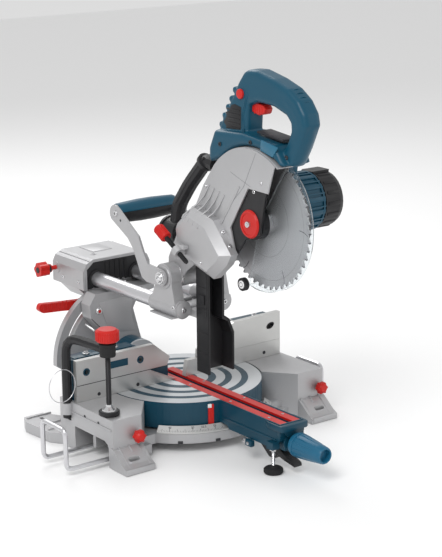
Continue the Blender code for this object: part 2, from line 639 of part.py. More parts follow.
def build_handle(axis, trigger_axis, button_axis):
    """D-shaped handle shell, with pockets for its trigger and lock-off button."""
    seat = arc(BLADE_C, SHELL_R + 0.6, 125, 50, 16)
    outline = seat + [(-118, 474), (-118, 500), (-124, 541), (-145, 570), (-161, 597),
                      (-180, 616), (-201, 627), (-222, 628), (-264, 619), (-298, 608),
                      (-321, 593), (-336, 574), (-340, 556), (-323, 520), (-305, 487)]
    opening = rounded([(-203, 562), (-224, 580), (-262, 578), (-298, 567), (-306, 556),
                       (-294, 538), (-206, 536)], 5)
    lower = seat + [(-118, 474), (-118, 500), (-130, 528), (-200, 530), (-280, 522), (-303, 492)]
    neck = [(-262, 452), (-226, 459), (-180, 444), (-130, 428), (-112, 440), (-118, 480),
            (-200, 520), (-270, 505)]
    solid("handle_shell", BLUE, axis,
          [plate("yz", -17, 17, outline, opening), plate("yz", -30, 30, lower),
           plate("yz", 12.3, 34, neck)],
          [box((-8.5, -238, 555), (8.5, -198, 577)), box((-20, -197, 581), (-11, -178, 598))])
    trigger = plate("yz", -8, 8, [(-201, 571), (-236, 571), (-235, 562), (-216, 558), (-201, 562)])
    solid("trigger", RED, trigger_axis, [trigger], bevel=1.2)
    button = plate("yz", -20.5, -14, slot((-187.5, 589.5), 2.4, 6, 60))
    solid("lock_off_button", RED, button_axis, [button])


def build_head_trim(axis):
    """Dust channel, depth stop and carrying handle."""
    route = [(-8, -110, 466), (-8, -86, 470), (-8, -40, 424), (-8, -8, 384), (-8, 0, 338)]
    channel = tube(route, 12.5, corner=14, resolution=3)
    port = rod((-8, -16, 338), (-8, 22, 338), 21, sides=32)
    mouth = rod((-8, -6, 338), (-8, 30, 338), 17, sides=32)
    solid("dust_channel", BLACK, axis, [channel, port], [mouth])
    x = -70.5
    top, tip = Vector((x, -48, 352)), Vector((x, -113, 316))
    way = (top - tip).normalized()
    screw = rod(tip, top, 4, sides=20)
    knob = rod(top - way * 12, top + way * 14, 9.5, sides=24)
    solid("depth_screw", RED, axis, [knob, screw])
    middle = tip + way * 28
    eye = rod(middle - way * 5, middle + way * 5, 8, sides=24)
    foot = box((x, middle.y - 8, middle.z - 5), (-60 - GAP, middle.y + 6, middle.z + 5))
    bore = rod(middle - way * 12, middle + way * 12, 4 + GAP, sides=20)
    solid("depth_bracket", CAST, axis, [eye, foot], [bore])
    outline = arc(HINGE_C, 14, 90, 270, 10) + [(12, 257), (26, 262), (38, 284), (50, 306),
                                                (66, 322)]
    outline += arc(GRIP_C, 15, -45, 130, 8) + [(56, 344), (34, 330), (21, 306), (8, 288)]
    hole = circle(HINGE_C, 8 + GAP, 24)
    for name, x0, x1 in (("carry_arm_left", -62.5, -58.7), ("carry_arm_right", 58.7, 62.5)):
        solid(name, CAST, axis, [plate("yz", x0, x1, outline, hole)])
    gy, gz = GRIP_C
    solid("carry_grip", BLACK, axis, [rod((-58.4, gy, gz), (58.4, gy, gz), 19)])


# --- the whole saw ---------------------------------------------------------------------------
ground = axis_point("base_frame", 0, 0, 0)
mitre = axis_point("mitre_axis", 0, 0, TABLE_TOP)
bevel = axis_point("bevel_axis", 0, NECK_Y[0], BEVEL_Z)
slide = axis_point("slide_axis", 0, 0, RAIL_Z)
hinge = axis_point("hinge_axis", 0, *HINGE_C)
spindle = axis_point("blade_axis", 0, *BLADE_C)
rotor = axis_point("rotor_axis", 0, *MOTOR_C)

build_base(ground)
build_fences(ground, axis_point("subfence_left_way", -FENCE_HALF, 0, FENCE_SPLIT),
             axis_point("subfence_right_way", FENCE_HALF, 0, FENCE_SPLIT))
build_hoop("hoop_left", axis_point("hoop_left_way", HOOP_LEFT_X, HOOP_Y[0], HOOP_Z[0]),
           HOOP_LEFT_X, -1)
build_hoop("hoop_right", axis_point("hoop_right_way", HOOP_RIGHT_X, HOOP_Y[0], HOOP_Z[0]),
           HOOP_RIGHT_X, 1)
for knob_name, knob_x in (("hoop_knob_left", -174), ("hoop_knob_right", 206)):
    build_hoop_knob(knob_name, axis_point(f"{knob_name}_axis", knob_x, BASE_FRONT, 50), knob_x)
build_clamp(axis_point("post_axis", *POST_XY, TABLE_TOP),
            axis_point("feed_axis", *SPINDLE_XY, TABLE_TOP))
build_turntable(mitre)
build_quadrant(mitre)
build_controls(axis_point("knob_axis", 0, ARM_FRONT, 49), axis_point("detent_axis", 0, -244, 40),
               axis_point("foot_axis", -27, -277, 0))
build_bevel_arm(bevel)
build_bevel_lever(axis_point("lever_axis", LOCK_C[0], 218, LOCK_C[1]))
build_slide_lock(axis_point("slide_lock_axis", -HOUSING_HALF, 285, 229))
build_rails(slide)
build_carriage(slide)
build_duct(slide)
build_head_casting(hinge)
build_upper_guard(hinge)
build_guard_bracket(hinge)
build_blade_group(spindle)
build_lower_guard(spindle, axis_point("roller_axis", 0, -189, 287))
build_motor(hinge, rotor)
build_handle(hinge, axis_point("trigger_axis", 0, -202, 568),
             axis_point("button_axis", -17, -187.5, 589.5))
build_head_trim(hinge)
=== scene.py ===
# %% [markdown]
# # A sliding mitre saw
#
# A mitre saw cuts boards across at an angle. A round table turns in a cast base, an arm
# leans over from the back of the table, two steel rails slide through the arm, and the
# motor and blade swing down on a hinge at the rails' front end. The solids of all these
# pieces come ready made and fixed in place. This lesson gives each one its finish and
# adds the small things a person notices: teeth, screws, ribs, threads and labels.

# %% Load the fixed solids
from math import atan2, cos, pi, radians, sin

import bmesh
import bpy
from mathutils import Matrix, Vector


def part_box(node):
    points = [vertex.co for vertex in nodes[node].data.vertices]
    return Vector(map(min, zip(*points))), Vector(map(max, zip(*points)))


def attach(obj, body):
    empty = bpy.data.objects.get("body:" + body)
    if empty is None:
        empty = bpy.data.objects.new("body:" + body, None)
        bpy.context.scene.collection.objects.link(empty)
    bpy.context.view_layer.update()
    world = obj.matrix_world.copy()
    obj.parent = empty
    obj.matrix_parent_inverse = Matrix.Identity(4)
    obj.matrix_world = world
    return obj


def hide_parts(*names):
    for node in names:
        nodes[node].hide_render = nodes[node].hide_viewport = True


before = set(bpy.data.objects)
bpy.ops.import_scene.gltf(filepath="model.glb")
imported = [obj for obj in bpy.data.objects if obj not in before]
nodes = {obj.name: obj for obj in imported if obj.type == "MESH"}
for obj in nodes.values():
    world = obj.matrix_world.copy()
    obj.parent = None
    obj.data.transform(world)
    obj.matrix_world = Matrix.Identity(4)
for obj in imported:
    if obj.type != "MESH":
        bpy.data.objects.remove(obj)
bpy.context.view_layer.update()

# %% [markdown]
# Everything is measured in millimetres from the point on the bench below the table's
# axis, because that is how such a saw is drawn in a workshop. The table's bolt gives
# that point, so the sizes still fit if the solids are moved.

# %% One set of axes for the whole lesson
MM = 0.001
bolt_low, bolt_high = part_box("pivot_bolt")
BENCH = Vector(((bolt_low.x + bolt_high.x) / 2, (bolt_low.y + bolt_high.y) / 2, 0.0))


def middle(node):
    """The middle of a solid, in millimetres from the bench point."""
    low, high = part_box(node)
    return ((low + high) / 2 - BENCH) / MM


BLADE = middle("saw_blade")
MOTOR = middle("motor_cap")
MOTOR.z = middle("armature").z
HINGE = middle("hinge_pin")
print("blade centre", [round(v, 1) for v in BLADE], "hinge", [round(v, 1) for v in HINGE])

# %% [markdown]
# The camera stands in front and to the left, a little above the saw, with a long lens,
# so that upright edges stay almost parallel.

# %% The camera
turn, dip, roll = radians(-37.55), radians(14.54), radians(-0.46)
back = Vector((sin(turn) * cos(dip), -cos(turn) * cos(dip), sin(dip)))
right = Vector((cos(turn), sin(turn), 0.0))
up = back.cross(right)
right, up = right * cos(roll) + up * sin(roll), up * cos(roll) - right * sin(roll)
eye = Matrix((right, up, back)).transposed().to_4x4()
eye.translation = BENCH + Vector((-1558.0, -2171.8, 966.4)) * MM
lens = bpy.data.cameras.new("camera")
lens.lens = 1651.5 / 557 * 36
lens.sensor_width = 36
lens.shift_x = (442 / 2 - 234.29) / 557
lens.shift_y = (267.12 - 557 / 2) / 557
camera = bpy.data.objects.new("camera", lens)
camera.matrix_world = eye
bpy.context.scene.collection.objects.link(camera)
bpy.context.scene.camera = camera
print("lens", round(lens.lens, 1), "mm, shift", round(lens.shift_x, 4), round(lens.shift_y, 4))

# %% [markdown]
# A studio table is a pale sheet with light from all round. One large soft lamp at the
# upper left makes the broad highlights on the castings, a weaker one on the right fills
# the shadows, and a strip above and behind draws a bright line along the round shapes.

# %% Floor and light
floor_mesh = bpy.data.meshes.new("floor")
sheet = bmesh.new()
bmesh.ops.create_grid(sheet, x_segments=1, y_segments=1, size=6.0)
sheet.to_mesh(floor_mesh)
sheet.free()
floor = bpy.data.objects.new("floor", floor_mesh)
floor.location.z = -0.0004
bpy.context.scene.collection.objects.link(floor)
paper = bpy.data.materials.new("paper")
paper.use_nodes = True
paper.node_tree.nodes["Principled BSDF"].inputs["Base Color"].default_value = (0.9, 0.9, 0.9, 1)
paper.node_tree.nodes["Principled BSDF"].inputs["Roughness"].default_value = 0.9
floor_mesh.materials.append(paper)

world = bpy.data.worlds.new("studio")
world.use_nodes = True
world.node_tree.nodes["Background"].inputs["Color"].default_value = (1.0, 1.0, 1.0, 1)
world.node_tree.nodes["Background"].inputs["Strength"].default_value = 0.72
bpy.context.scene.world = world
bpy.context.scene.view_settings.view_transform = "Standard"
for name, place, size, power in (("key", (-1.9, -1.3, 2.4), 1.3, 46),
                                 ("fill", (2.2, -1.6, 1.2), 1.6, 8),
                                 ("strip", (0.6, 1.8, 2.0), 1.4, 22)):
    lamp = bpy.data.lights.new(name, "AREA")
    lamp.size = size
    lamp.energy = power
    holder = bpy.data.objects.new(name, lamp)
    holder.location = place
    aim = Vector((0, 0, 0.25)) - Vector(place)
    holder.rotation_euler = aim.to_track_quat("-Z", "Y").to_euler()
    bpy.context.scene.collection.objects.link(holder)
print("three lamps, floor and a pale surround")

# %% [markdown]
# ## Finishes
#
# Each finish is one Principled shader with a few nodes in front of it. A slow noise
# drifts the colour a little, a finer noise changes the roughness as handling does, and
# a very fine noise becomes the bump of moulded plastic, blasted casting or ground
# steel. Stretching that last noise along one axis turns grain into machining lines.


# %% A helper that builds a finish
def add(mat, kind, **settings):
    """Add one node to a material; settings with a socket's name fill that socket."""
    made = mat.node_tree.nodes.new(kind)
    for key, value in settings.items():
        if hasattr(made, key):
            setattr(made, key, value)
        else:
            made.inputs[key.replace("_", " ")].default_value = value
    return made


def join(mat, source, target):
    mat.node_tree.links.new(source, target)


def sums(mat, operation, a, b=None, c=None):
    """A Math node; numbers fill its sockets and outputs are linked to them."""
    made = add(mat, "ShaderNodeMath", operation=operation)
    for socket, value in zip(made.inputs, (a, b, c)):
        if isinstance(value, (int, float)):
            socket.default_value = value
        elif value is not None:
            join(mat, value, socket)
    return made.outputs[0]


def blend(mat, share, a, b):
    """Mix two colours, each a colour or an output, by a share."""
    made = add(mat, "ShaderNodeMix", data_type="RGBA")
    for socket, value in zip((made.inputs[0], made.inputs[6], made.inputs[7]), (share, a, b)):
        if isinstance(value, tuple):
            socket.default_value = (*value, 1)
        elif isinstance(value, (int, float)):
            socket.default_value = value
        else:
            join(mat, value, socket)
    return made.outputs[2]


def new_finish(name, slot, colour, rough, metal=0.0, drift=0.12, grain=0.0006, depth=0.15,
               stretch=(1, 1, 1), coat=0.0):
    mat = bpy.data.materials.new(name)
    mat.use_nodes = True
    mat["slot"] = slot
    shader = mat.node_tree.nodes["Principled BSDF"]
    shader.inputs["Metallic"].default_value = metal
    shader.inputs["Coat Weight"].default_value = coat
    shader.inputs["Coat Roughness"].default_value = 0.15
    shader.inputs["Specular IOR Level"].default_value = 0.5 if metal > 0.3 else 0.32
    where = add(mat, "ShaderNodeTexCoord").outputs["Object"]
    slow = add(mat, "ShaderNodeTexNoise", Scale=14.0, Detail=3.0)
    join(mat, where, slow.inputs["Vector"])
    dark = tuple(c * (1 - drift) for c in colour)
    tint = blend(mat, slow.outputs["Fac"], dark, colour)
    join(mat, tint, shader.inputs["Base Color"])
    worn = add(mat, "ShaderNodeTexNoise", Scale=90.0, Detail=4.0)
    join(mat, where, worn.inputs["Vector"])
    spread = add(mat, "ShaderNodeMapRange", To_Min=rough * 0.82, To_Max=min(1.0, rough * 1.2))
    join(mat, worn.outputs["Fac"], spread.inputs["Value"])
    join(mat, spread.outputs[0], shader.inputs["Roughness"])
    pull = add(mat, "ShaderNodeMapping", Scale=stretch)
    join(mat, where, pull.inputs["Vector"])
    fine = add(mat, "ShaderNodeTexNoise", Scale=1 / grain, Detail=2.0)
    join(mat, pull.outputs[0], fine.inputs["Vector"])
    relief = add(mat, "ShaderNodeBump", Strength=depth, Distance=0.0002)
    join(mat, fine.outputs["Fac"], relief.inputs["Height"])
    join(mat, relief.outputs[0], shader.inputs["Normal"])
    return mat


# %% Plain finishes, one for each kind of surface
cast = new_finish("cast_alloy", "cast_alloy", (0.47, 0.47, 0.48), 0.44, 0.5, grain=0.0008)
# A darker copy of the casting colour: painted shade, used for thin strips on the guard's side
cast_painted_shade = new_finish("cast_alloy_shaded", "cast_alloy", (0.30, 0.31, 0.32), 0.5, 0.5)
brushed = new_finish("fence_face", "machined_alloy", (0.58, 0.58, 0.57), 0.34, 0.85,
                     grain=0.0005, depth=0.3, stretch=(0.02, 1, 1))
chrome = new_finish("chrome_rod", "steel", (0.66, 0.66, 0.68), 0.30, 0.85, grain=0.001,
                    depth=0.03, stretch=(1, 0.03, 1))
steel = new_finish("plated_steel", "steel", (0.68, 0.68, 0.69), 0.25, 1.0)
blue = new_finish("blue_moulding", "blue_plastic", (0.003, 0.066, 0.115), 0.38)
blue_paint = new_finish("blue_paint", "blue_paint", (0.002, 0.046, 0.080), 0.36, coat=0.06)
black = new_finish("black_moulding", "black_plastic", (0.018, 0.018, 0.020), 0.42, drift=0.3)
rubber = new_finish("soft_grip", "black_rubber", (0.016, 0.016, 0.017), 0.7, drift=0.3,
                    grain=0.0009, depth=0.4)
red = new_finish("red_moulding", "red_plastic", (0.56, 0.014, 0.010), 0.36)
carbide = new_finish("carbide", "blade_steel", (0.10, 0.10, 0.11), 0.38, 0.8)
white = new_finish("white_print", "blade_steel", (0.82, 0.82, 0.82), 0.5)
ink = new_finish("dark_print", "black_plastic", (0.03, 0.03, 0.035), 0.6)
print(len(bpy.data.materials), "finishes so far")

# %% Give every solid its first finish
groups = {
    cast: ["base_casting", "bevel_neck", "rail_housing", "carriage", "head_casting",
           "upper_guard", "bevel_quadrant", "depth_bracket", "carry_arm_left",
           "carry_arm_right"],
    brushed: ["mitre_scale", "fence_face_left", "fence_face_right", "subfence_left",
              "subfence_right"],
    chrome: ["rail_left", "rail_right", "hoop_left", "hoop_right"],
    steel: ["pivot_bolt", "bevel_pin", "hinge_pin", "arbor", "blade_flange", "armature",
            "saw_blade"],
    blue_paint: ["turntable", "fence_casting_left", "fence_casting_right"],
    blue: ["handle_shell", "motor_housing", "mitre_knob"],
    black: ["housing_insert", "rail_end_plate", "dust_duct", "dust_channel", "guard_bracket",
            "guard_hub", "gear_cover", "motor_cap", "carry_grip", "clamp_post",
            "detent_lever"],
    rubber: ["arm_foot", "guard_roller"],
    red: ["kerf_insert_left", "kerf_insert_right", "mitre_pointer", "hoop_knob_left",
          "hoop_knob_right", "clamp_spindle", "bevel_lever", "slide_lock_knob", "trigger",
          "lock_off_button", "depth_screw", "hub_cap"],
    white: ["lower_guard"],
}


def paint(node, mat):
    nodes[node].data.materials.clear()
    nodes[node].data.materials.append(mat)


for mat, names in groups.items():
    for node in names:
        paint(node, mat)
print(sum(len(names) for names in groups.values()), "solids painted")

# %% [markdown]
# ## Shaping helpers
#
# Every new piece starts as an empty bmesh, in millimetres. A helper makes one simple
# shape with bmesh operators and drops it in, so a screw, a rib and a ring can share one
# mesh. The last helper turns the faces outwards, scales to metres, hangs the piece on a
# moving body and says how many faces it has.


# %% Blocks, drums, turned shapes, flat shapes and wires
def gather(whole, part, matrix=None):
    if matrix is not None:
        bmesh.ops.transform(part, matrix=matrix, verts=part.verts)
    mesh = bpy.data.meshes.new("shape")
    part.to_mesh(mesh)
    part.free()
    whole.from_mesh(mesh)
    bpy.data.meshes.remove(mesh)


def soften(part, edges, width, segments=2):
    bmesh.ops.bevel(part, geom=list(edges), offset=width, segments=segments, profile=0.5,
                    affect="EDGES", material=-1)


def block(whole, low, high, soft=0.0, turn=None):
    low, high = Vector(low), Vector(high)
    part = bmesh.new()
    bmesh.ops.create_cube(part, size=1.0, matrix=Matrix.Diagonal((*(high - low), 1)))
    if soft:
        soften(part, part.edges, soft)
    place = Matrix.Translation((low + high) / 2)
    gather(whole, part, place @ turn if turn else place)


def upright(direction):
    """The turn that takes +Z to a direction."""
    return Vector((0, 0, 1)).rotation_difference(Vector(direction)).to_matrix().to_4x4()


def drum(whole, start, end, radius, far=None, sides=28, soft=0.0):
    start, end = Vector(start), Vector(end)
    part = bmesh.new()
    bmesh.ops.create_cone(part, cap_ends=True, segments=sides, radius1=radius,
                          radius2=radius if far is None else far, depth=(end - start).length)
    if soft:
        rims = {edge for face in part.faces if len(face.verts) == sides for edge in face.edges}
        soften(part, rims, soft)
    gather(whole, part, Matrix.Translation((start + end) / 2) @ upright(end - start))


def turned(whole, profile, base, direction, steps=36, sweep=360):
    """Spin (radius, height) points about an axis. A repeated first point closes a ring."""
    part = bmesh.new()
    ring = profile[0] == profile[-1]
    verts = [part.verts.new((r, 0, h)) for r, h in (profile[:-1] if ring else profile)]
    pairs = list(zip(verts, verts[1:])) + ([(verts[-1], verts[0])] if ring else [])
    edges = [part.edges.new(pair) for pair in pairs]
    bmesh.ops.spin(part, geom=verts + edges, cent=(0, 0, 0), axis=(0, 0, 1), dvec=(0, 0, 0),
                   angle=radians(sweep), steps=steps, use_merge=sweep == 360)
    bmesh.ops.remove_doubles(part, verts=part.verts, dist=0.001)
    gather(whole, part, Matrix.Translation(base) @ upright(direction))


THIRD = {"yz": (1, 0, 0), "xz": (0, 1, 0), "xy": (0, 0, 1)}


def flat(whole, plane, low, high, outline, soft=0.0, segments=2):
    """A flat shape: an outline in one plane, pulled out from low to high along the third."""
    part = bmesh.new()
    seat = {"yz": lambda a, b: (low, a, b), "xz": lambda a, b: (a, low, b),
            "xy": lambda a, b: (a, b, low)}[plane]
    face = part.faces.new([part.verts.new(seat(a, b)) for a, b in outline])
    pulled = bmesh.ops.extrude_face_region(part, geom=[face])["geom"]
    corners = [v for v in pulled if isinstance(v, bmesh.types.BMVert)]
    bmesh.ops.translate(part, vec=Vector(THIRD[plane]) * (high - low), verts=corners)
    if soft:
        rims = {edge for face in part.faces if len(face.verts) == len(outline)
                and len(outline) > 4 for edge in face.edges} or set(part.edges)
        soften(part, rims, soft, segments)
    gather(whole, part)


def wire(whole, points, radius, closed=False, resolution=4):
    """A round wire through points."""
    curve = bpy.data.curves.new("wire", "CURVE")
    curve.dimensions = "3D"
    curve.bevel_depth = radius
    curve.bevel_resolution = resolution
    curve.use_fill_caps = True
    line = curve.splines.new("POLY")
    line.points.add(len(points) - 1)
    for knot, point in zip(line.points, points):
        knot.co = (*point, 1)
    line.use_cyclic_u = closed
    holder = bpy.data.objects.new("wire", curve)
    mesh = bpy.data.meshes.new_from_object(holder)
    whole.from_mesh(mesh)
    bpy.data.objects.remove(holder)
    bpy.data.meshes.remove(mesh)


def screw(whole, place, direction, radius, sides=24):
    """A screw head with a round socket."""
    profile = [(0, -0.25), (0.42, -0.25), (0.46, 0.42), (0.8, 0.42), (1, 0.22), (1, -0.4),
               (0, -0.4)]
    turned(whole, [(r * radius, h * radius) for r, h in profile], place, direction, sides)


def repeat(part, axis, centre, count, sweep=360):
    """Copies of what is in a bmesh, evenly round an axis."""
    share = sweep / count if sweep == 360 else sweep / (count - 1)
    bmesh.ops.spin(part, geom=part.verts[:] + part.edges[:] + part.faces[:], cent=centre,
                   axis=axis, dvec=(0, 0, 0), angle=radians(share * (count - 1)),
                   steps=count - 1, use_duplicate=True)


def arc(centre, radius, start, end, steps=16):
    angles = [radians(start + (end - start) * i / steps) for i in range(steps + 1)]
    return [(centre[0] + radius * cos(a), centre[1] + radius * sin(a)) for a in angles]


TO_METRES = Matrix.Translation(BENCH) @ Matrix.Scale(MM, 4)


def piece(name, whole, mat, body, *stands_for, crease=32):
    """Finish a bmesh as an object that rides on a body."""
    bmesh.ops.remove_doubles(whole, verts=whole.verts, dist=0.0005)
    bmesh.ops.recalc_face_normals(whole, faces=whole.faces)
    bmesh.ops.transform(whole, matrix=TO_METRES, verts=whole.verts)
    mesh = bpy.data.meshes.new(name)
    whole.to_mesh(mesh)
    whole.free()
    mesh.materials.append(mat)
    mesh.shade_smooth()
    mesh.set_sharp_from_angle(angle=radians(crease))
    made = bpy.data.objects.new(name, mesh)
    bpy.context.scene.collection.objects.link(made)
    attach(made, body)
    if stands_for:
        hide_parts(*stands_for)
    print(f"{name}: {len(mesh.polygons)} faces on {body}")
    return made


# %% [markdown]
# ## Patterned finishes
#
# Some surfaces carry a pattern that belongs to their place on the saw: rings turned
# into the table, ticks on the scale, circles ground into the blade. These read the
# Object coordinates, measure a distance or an angle from the piece's own axis, and mix
# two finishes by it.


# %% Distances and angles for a pattern
def local(mat, centre, turn=(0, 0, 0)):
    """X, Y and Z in metres from a point given in millimetres."""
    where = add(mat, "ShaderNodeTexCoord").outputs["Object"]
    shift = add(mat, "ShaderNodeMapping")
    shift.vector_type = "TEXTURE"
    shift.inputs["Location"].default_value = BENCH + Vector(centre) * MM
    shift.inputs["Rotation"].default_value = turn
    join(mat, where, shift.inputs["Vector"])
    split = add(mat, "ShaderNodeSeparateXYZ")
    join(mat, shift.outputs[0], split.inputs[0])
    return split.outputs


def distance(mat, a, b):
    return sums(mat, "SQRT", sums(mat, "ADD", sums(mat, "MULTIPLY", a, a),
                                  sums(mat, "MULTIPLY", b, b)))


def within(mat, value, low, high):
    return sums(mat, "MULTIPLY", sums(mat, "GREATER_THAN", value, low),
                sums(mat, "LESS_THAN", value, high))


def either(mat, *shares):
    total = shares[0]
    for share in shares[1:]:
        total = sums(mat, "MAXIMUM", total, share)
    return total


def over(mat, share, colour, rough=None, metal=None):
    """Lay a second colour, roughness and metal over a finish where share is 1."""
    shader = mat.node_tree.nodes["Principled BSDF"]
    below = shader.inputs["Base Color"].links[0].from_socket
    join(mat, blend(mat, share, below, colour), shader.inputs["Base Color"])
    for name, value in (("Roughness", rough), ("Metallic", metal)):
        if value is None:
            continue
        socket = shader.inputs[name]
        mixed = add(mat, "ShaderNodeMix")
        join(mat, share, mixed.inputs[0])
        if socket.links:
            join(mat, socket.links[0].from_socket, mixed.inputs[2])
        else:
            mixed.inputs[2].default_value = socket.default_value
        mixed.inputs[3].default_value = value
        join(mat, mixed.outputs[0], socket)


# %% The table: bright turned rings on a blue casting
table_finish = new_finish("turned_table", "blue_paint", (0.002, 0.046, 0.080), 0.36, coat=0.06)
x, y, z = local(table_finish, (0, 0, 0))
reach = distance(table_finish, x, y)
top = sums(table_finish, "GREATER_THAN", z, 0.0806)
rings = either(table_finish, within(table_finish, reach, 0.1105, 0.1332),
               within(table_finish, reach, 0.083, 0.099),
               within(table_finish, reach, 0.056, 0.0715),
               within(table_finish, reach, 0.024, 0.0425))
over(table_finish, sums(table_finish, "MULTIPLY", top, rings), (0.60, 0.62, 0.64), 0.34, 0.5)
paint("turntable", table_finish)

# %% The mitre scale: a tick for each degree, longer ones for five and fifteen
scale_finish = new_finish("mitre_scale_ticks", "machined_alloy", (0.66, 0.66, 0.65), 0.4, 0.6)
x, y, z = local(scale_finish, (0, 0, 0))
reach = distance(scale_finish, x, y)
angle = sums(scale_finish, "MULTIPLY", sums(scale_finish, "ARCTAN2", x,
                                            sums(scale_finish, "MULTIPLY", y, -1)), 180 / pi)
ticks = []
for every, width, inner in ((1, 0.16, 0.1455), (5, 0.22, 0.1435), (15, 0.3, 0.1415)):
    share = sums(scale_finish, "FRACT", sums(scale_finish, "ADD",
                 sums(scale_finish, "DIVIDE", sums(scale_finish, "ADD", angle, width / 2), every),
                 100.0))
    tick = sums(scale_finish, "LESS_THAN", share, width / every)
    ticks.append(sums(scale_finish, "MULTIPLY", tick, within(scale_finish, reach, inner, 0.1482)))
marked = sums(scale_finish, "MULTIPLY", either(scale_finish, *ticks),
              sums(scale_finish, "GREATER_THAN", z, 0.0346))
over(scale_finish, marked, (0.02, 0.02, 0.02), 0.6, 0.0)
paint("mitre_scale", scale_finish)

# %% The blade: circles ground into the steel, with two thin dark rings
blade_finish = new_finish("ground_blade", "blade_steel", (0.50, 0.50, 0.515), 0.4, 0.85)
x, y, z = local(blade_finish, BLADE)
reach = distance(blade_finish, y, z)
loops = add(blade_finish, "ShaderNodeTexNoise", noise_dimensions="1D", Scale=1400.0, Detail=3.0)
join(blade_finish, reach, loops.inputs["W"])
shader = blade_finish.node_tree.nodes["Principled BSDF"]
polish = add(blade_finish, "ShaderNodeMapRange", To_Min=0.34, To_Max=0.52)
join(blade_finish, loops.outputs["Fac"], polish.inputs["Value"])
join(blade_finish, polish.outputs[0], shader.inputs["Roughness"])
groove = add(blade_finish, "ShaderNodeBump", Strength=0.1, Distance=0.0001)
join(blade_finish, loops.outputs["Fac"], groove.inputs["Height"])
join(blade_finish, groove.outputs[0], shader.inputs["Normal"])
over(blade_finish, either(blade_finish, within(blade_finish, reach, 0.0555, 0.0562),
                          within(blade_finish, reach, 0.0925, 0.0931)), (0.25, 0.25, 0.26))
print("table, scale and blade finishes")

# %% Clear polycarbonate for the lower guard
clear = bpy.data.materials.new("clear_guard")
clear.use_nodes = True
clear["slot"] = "clear_plastic"
shader = clear.node_tree.nodes["Principled BSDF"]
shader.inputs["Base Color"].default_value = (0.93, 0.95, 0.96, 1)
shader.inputs["Transmission Weight"].default_value = 0.97
shader.inputs["IOR"].default_value = 1.08
scuffs = add(clear, "ShaderNodeTexNoise", Scale=60.0, Detail=4.0)
join(clear, add(clear, "ShaderNodeTexCoord").outputs["Object"], scuffs.inputs["Vector"])
haze = add(clear, "ShaderNodeMapRange", To_Min=0.02, To_Max=0.12)
join(clear, scuffs.outputs["Fac"], haze.inputs["Value"])
join(clear, haze.outputs[0], shader.inputs["Roughness"])
paint("lower_guard", clear)
print("clear guard, slightly hazed by sawdust")
# %% [markdown]
# ## The blade
#
# A 216 mm blade for wood is a thin steel plate with 48 teeth. Each tooth is a hooked
# shoulder of the plate with a small block of dark carbide brazed to its front. One
# tooth is drawn and then spun round the bore with copies left behind.

# %% Plate, teeth, slots and tips
centre = Vector((0, BLADE.y, BLADE.z))
plate = bmesh.new()
turned(plate, [(8.4, 0.9), (102.6, 0.9), (102.6, -0.9), (8.4, -0.9), (8.4, 0.9)], (0, 0, 0),
       (1, 0, 0), 96)
tooth = bmesh.new()
flat(tooth, "yz", -0.9, 0.9, [(101.4, -5.6), (101.6, 2.9), (104.6, 3.0), (107.2, 2.2),
                              (107.5, 0.4), (105.4, -3.4)])
repeat(tooth, (1, 0, 0), (0, 0, 0), 48)
gather(plate, tooth)
bmesh.ops.translate(plate, vec=centre, verts=plate.verts)
piece("blade_plate", plate, blade_finish, "blade", "saw_blade")

tips = bmesh.new()
flat(tips, "yz", -1.2, 1.2, [(103.6, 3.0), (107.8, 2.6), (107.9, 0.2), (104.2, 1.2)])
repeat(tips, (1, 0, 0), (0, 0, 0), 48)
slots = bmesh.new()
flat(slots, "yz", -0.96, 0.96, [(82, -0.5), (82, 0.5), (94, 2.0), (102.4, 6.4), (102.4, 5.0),
                                (94, 0.7)])
repeat(slots, (1, 0, 0), (0, 0, 0), 6)
gather(tips, slots)
bmesh.ops.translate(tips, vec=centre, verts=tips.verts)
piece("blade_tips", tips, carbide, "blade")

# %% [markdown]
# ## Hub, roller and bracket
#
# The red disc over the arbor turns aside for a blade change. It has a bright screw in
# the middle. The guard's roller is a rubber tyre on a pale hub.

# %% Hub screw, bracket screws and roller hub
hub = bmesh.new()
face_x = (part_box("hub_cap")[0].x - BENCH.x) / MM
turned(hub, [(0, 1.4), (2.2, 1.4), (2.6, 0.4), (4.6, 0.4), (5.0, -0.4), (5.0, -4), (0, -4)],
       (face_x - 0.4, BLADE.y, BLADE.z), (-1, 0, 0), 28)
for y, z in ((-190, 425), (-236, 445), (-172, 334)):
    screw(hub, (-31.0, y, z), (-1, 0, 0), 3.2)
piece("hub_screw", hub, steel, "head")

rim = bmesh.new()
turned(rim, [(17.5, 0.9), (20.6, 0.9), (21.4, 0), (21.4, -1), (17.5, -1), (17.5, 0.9)],
       (-33.6, BLADE.y, BLADE.z), (-1, 0, 0), 48)
piece("hub_ring", rim, red, "head")

ROLLER = middle("guard_roller")
roller = bmesh.new()
turned(roller, [(0, 21.6), (2.4, 21.6), (3.0, 21.0), (6.4, 20.6), (6.6, 19.0), (0, 19.0)],
       (0, ROLLER.y, ROLLER.z), (-1, 0, 0), 28)
piece("roller_hub", roller, white, "guard_roller")

# %% [markdown]
# ## The upper guard
#
# The guard is a thin-walled casting. Its flat side steps out at the bottom into a box
# that carries the hinge, so the box has wide chamfers where the metal folds over. The
# box is an outline pulled out and then inset with depth, which draws all the chamfers at
# once. Ribs stiffen the fold and two screws hold the guard's front plate.

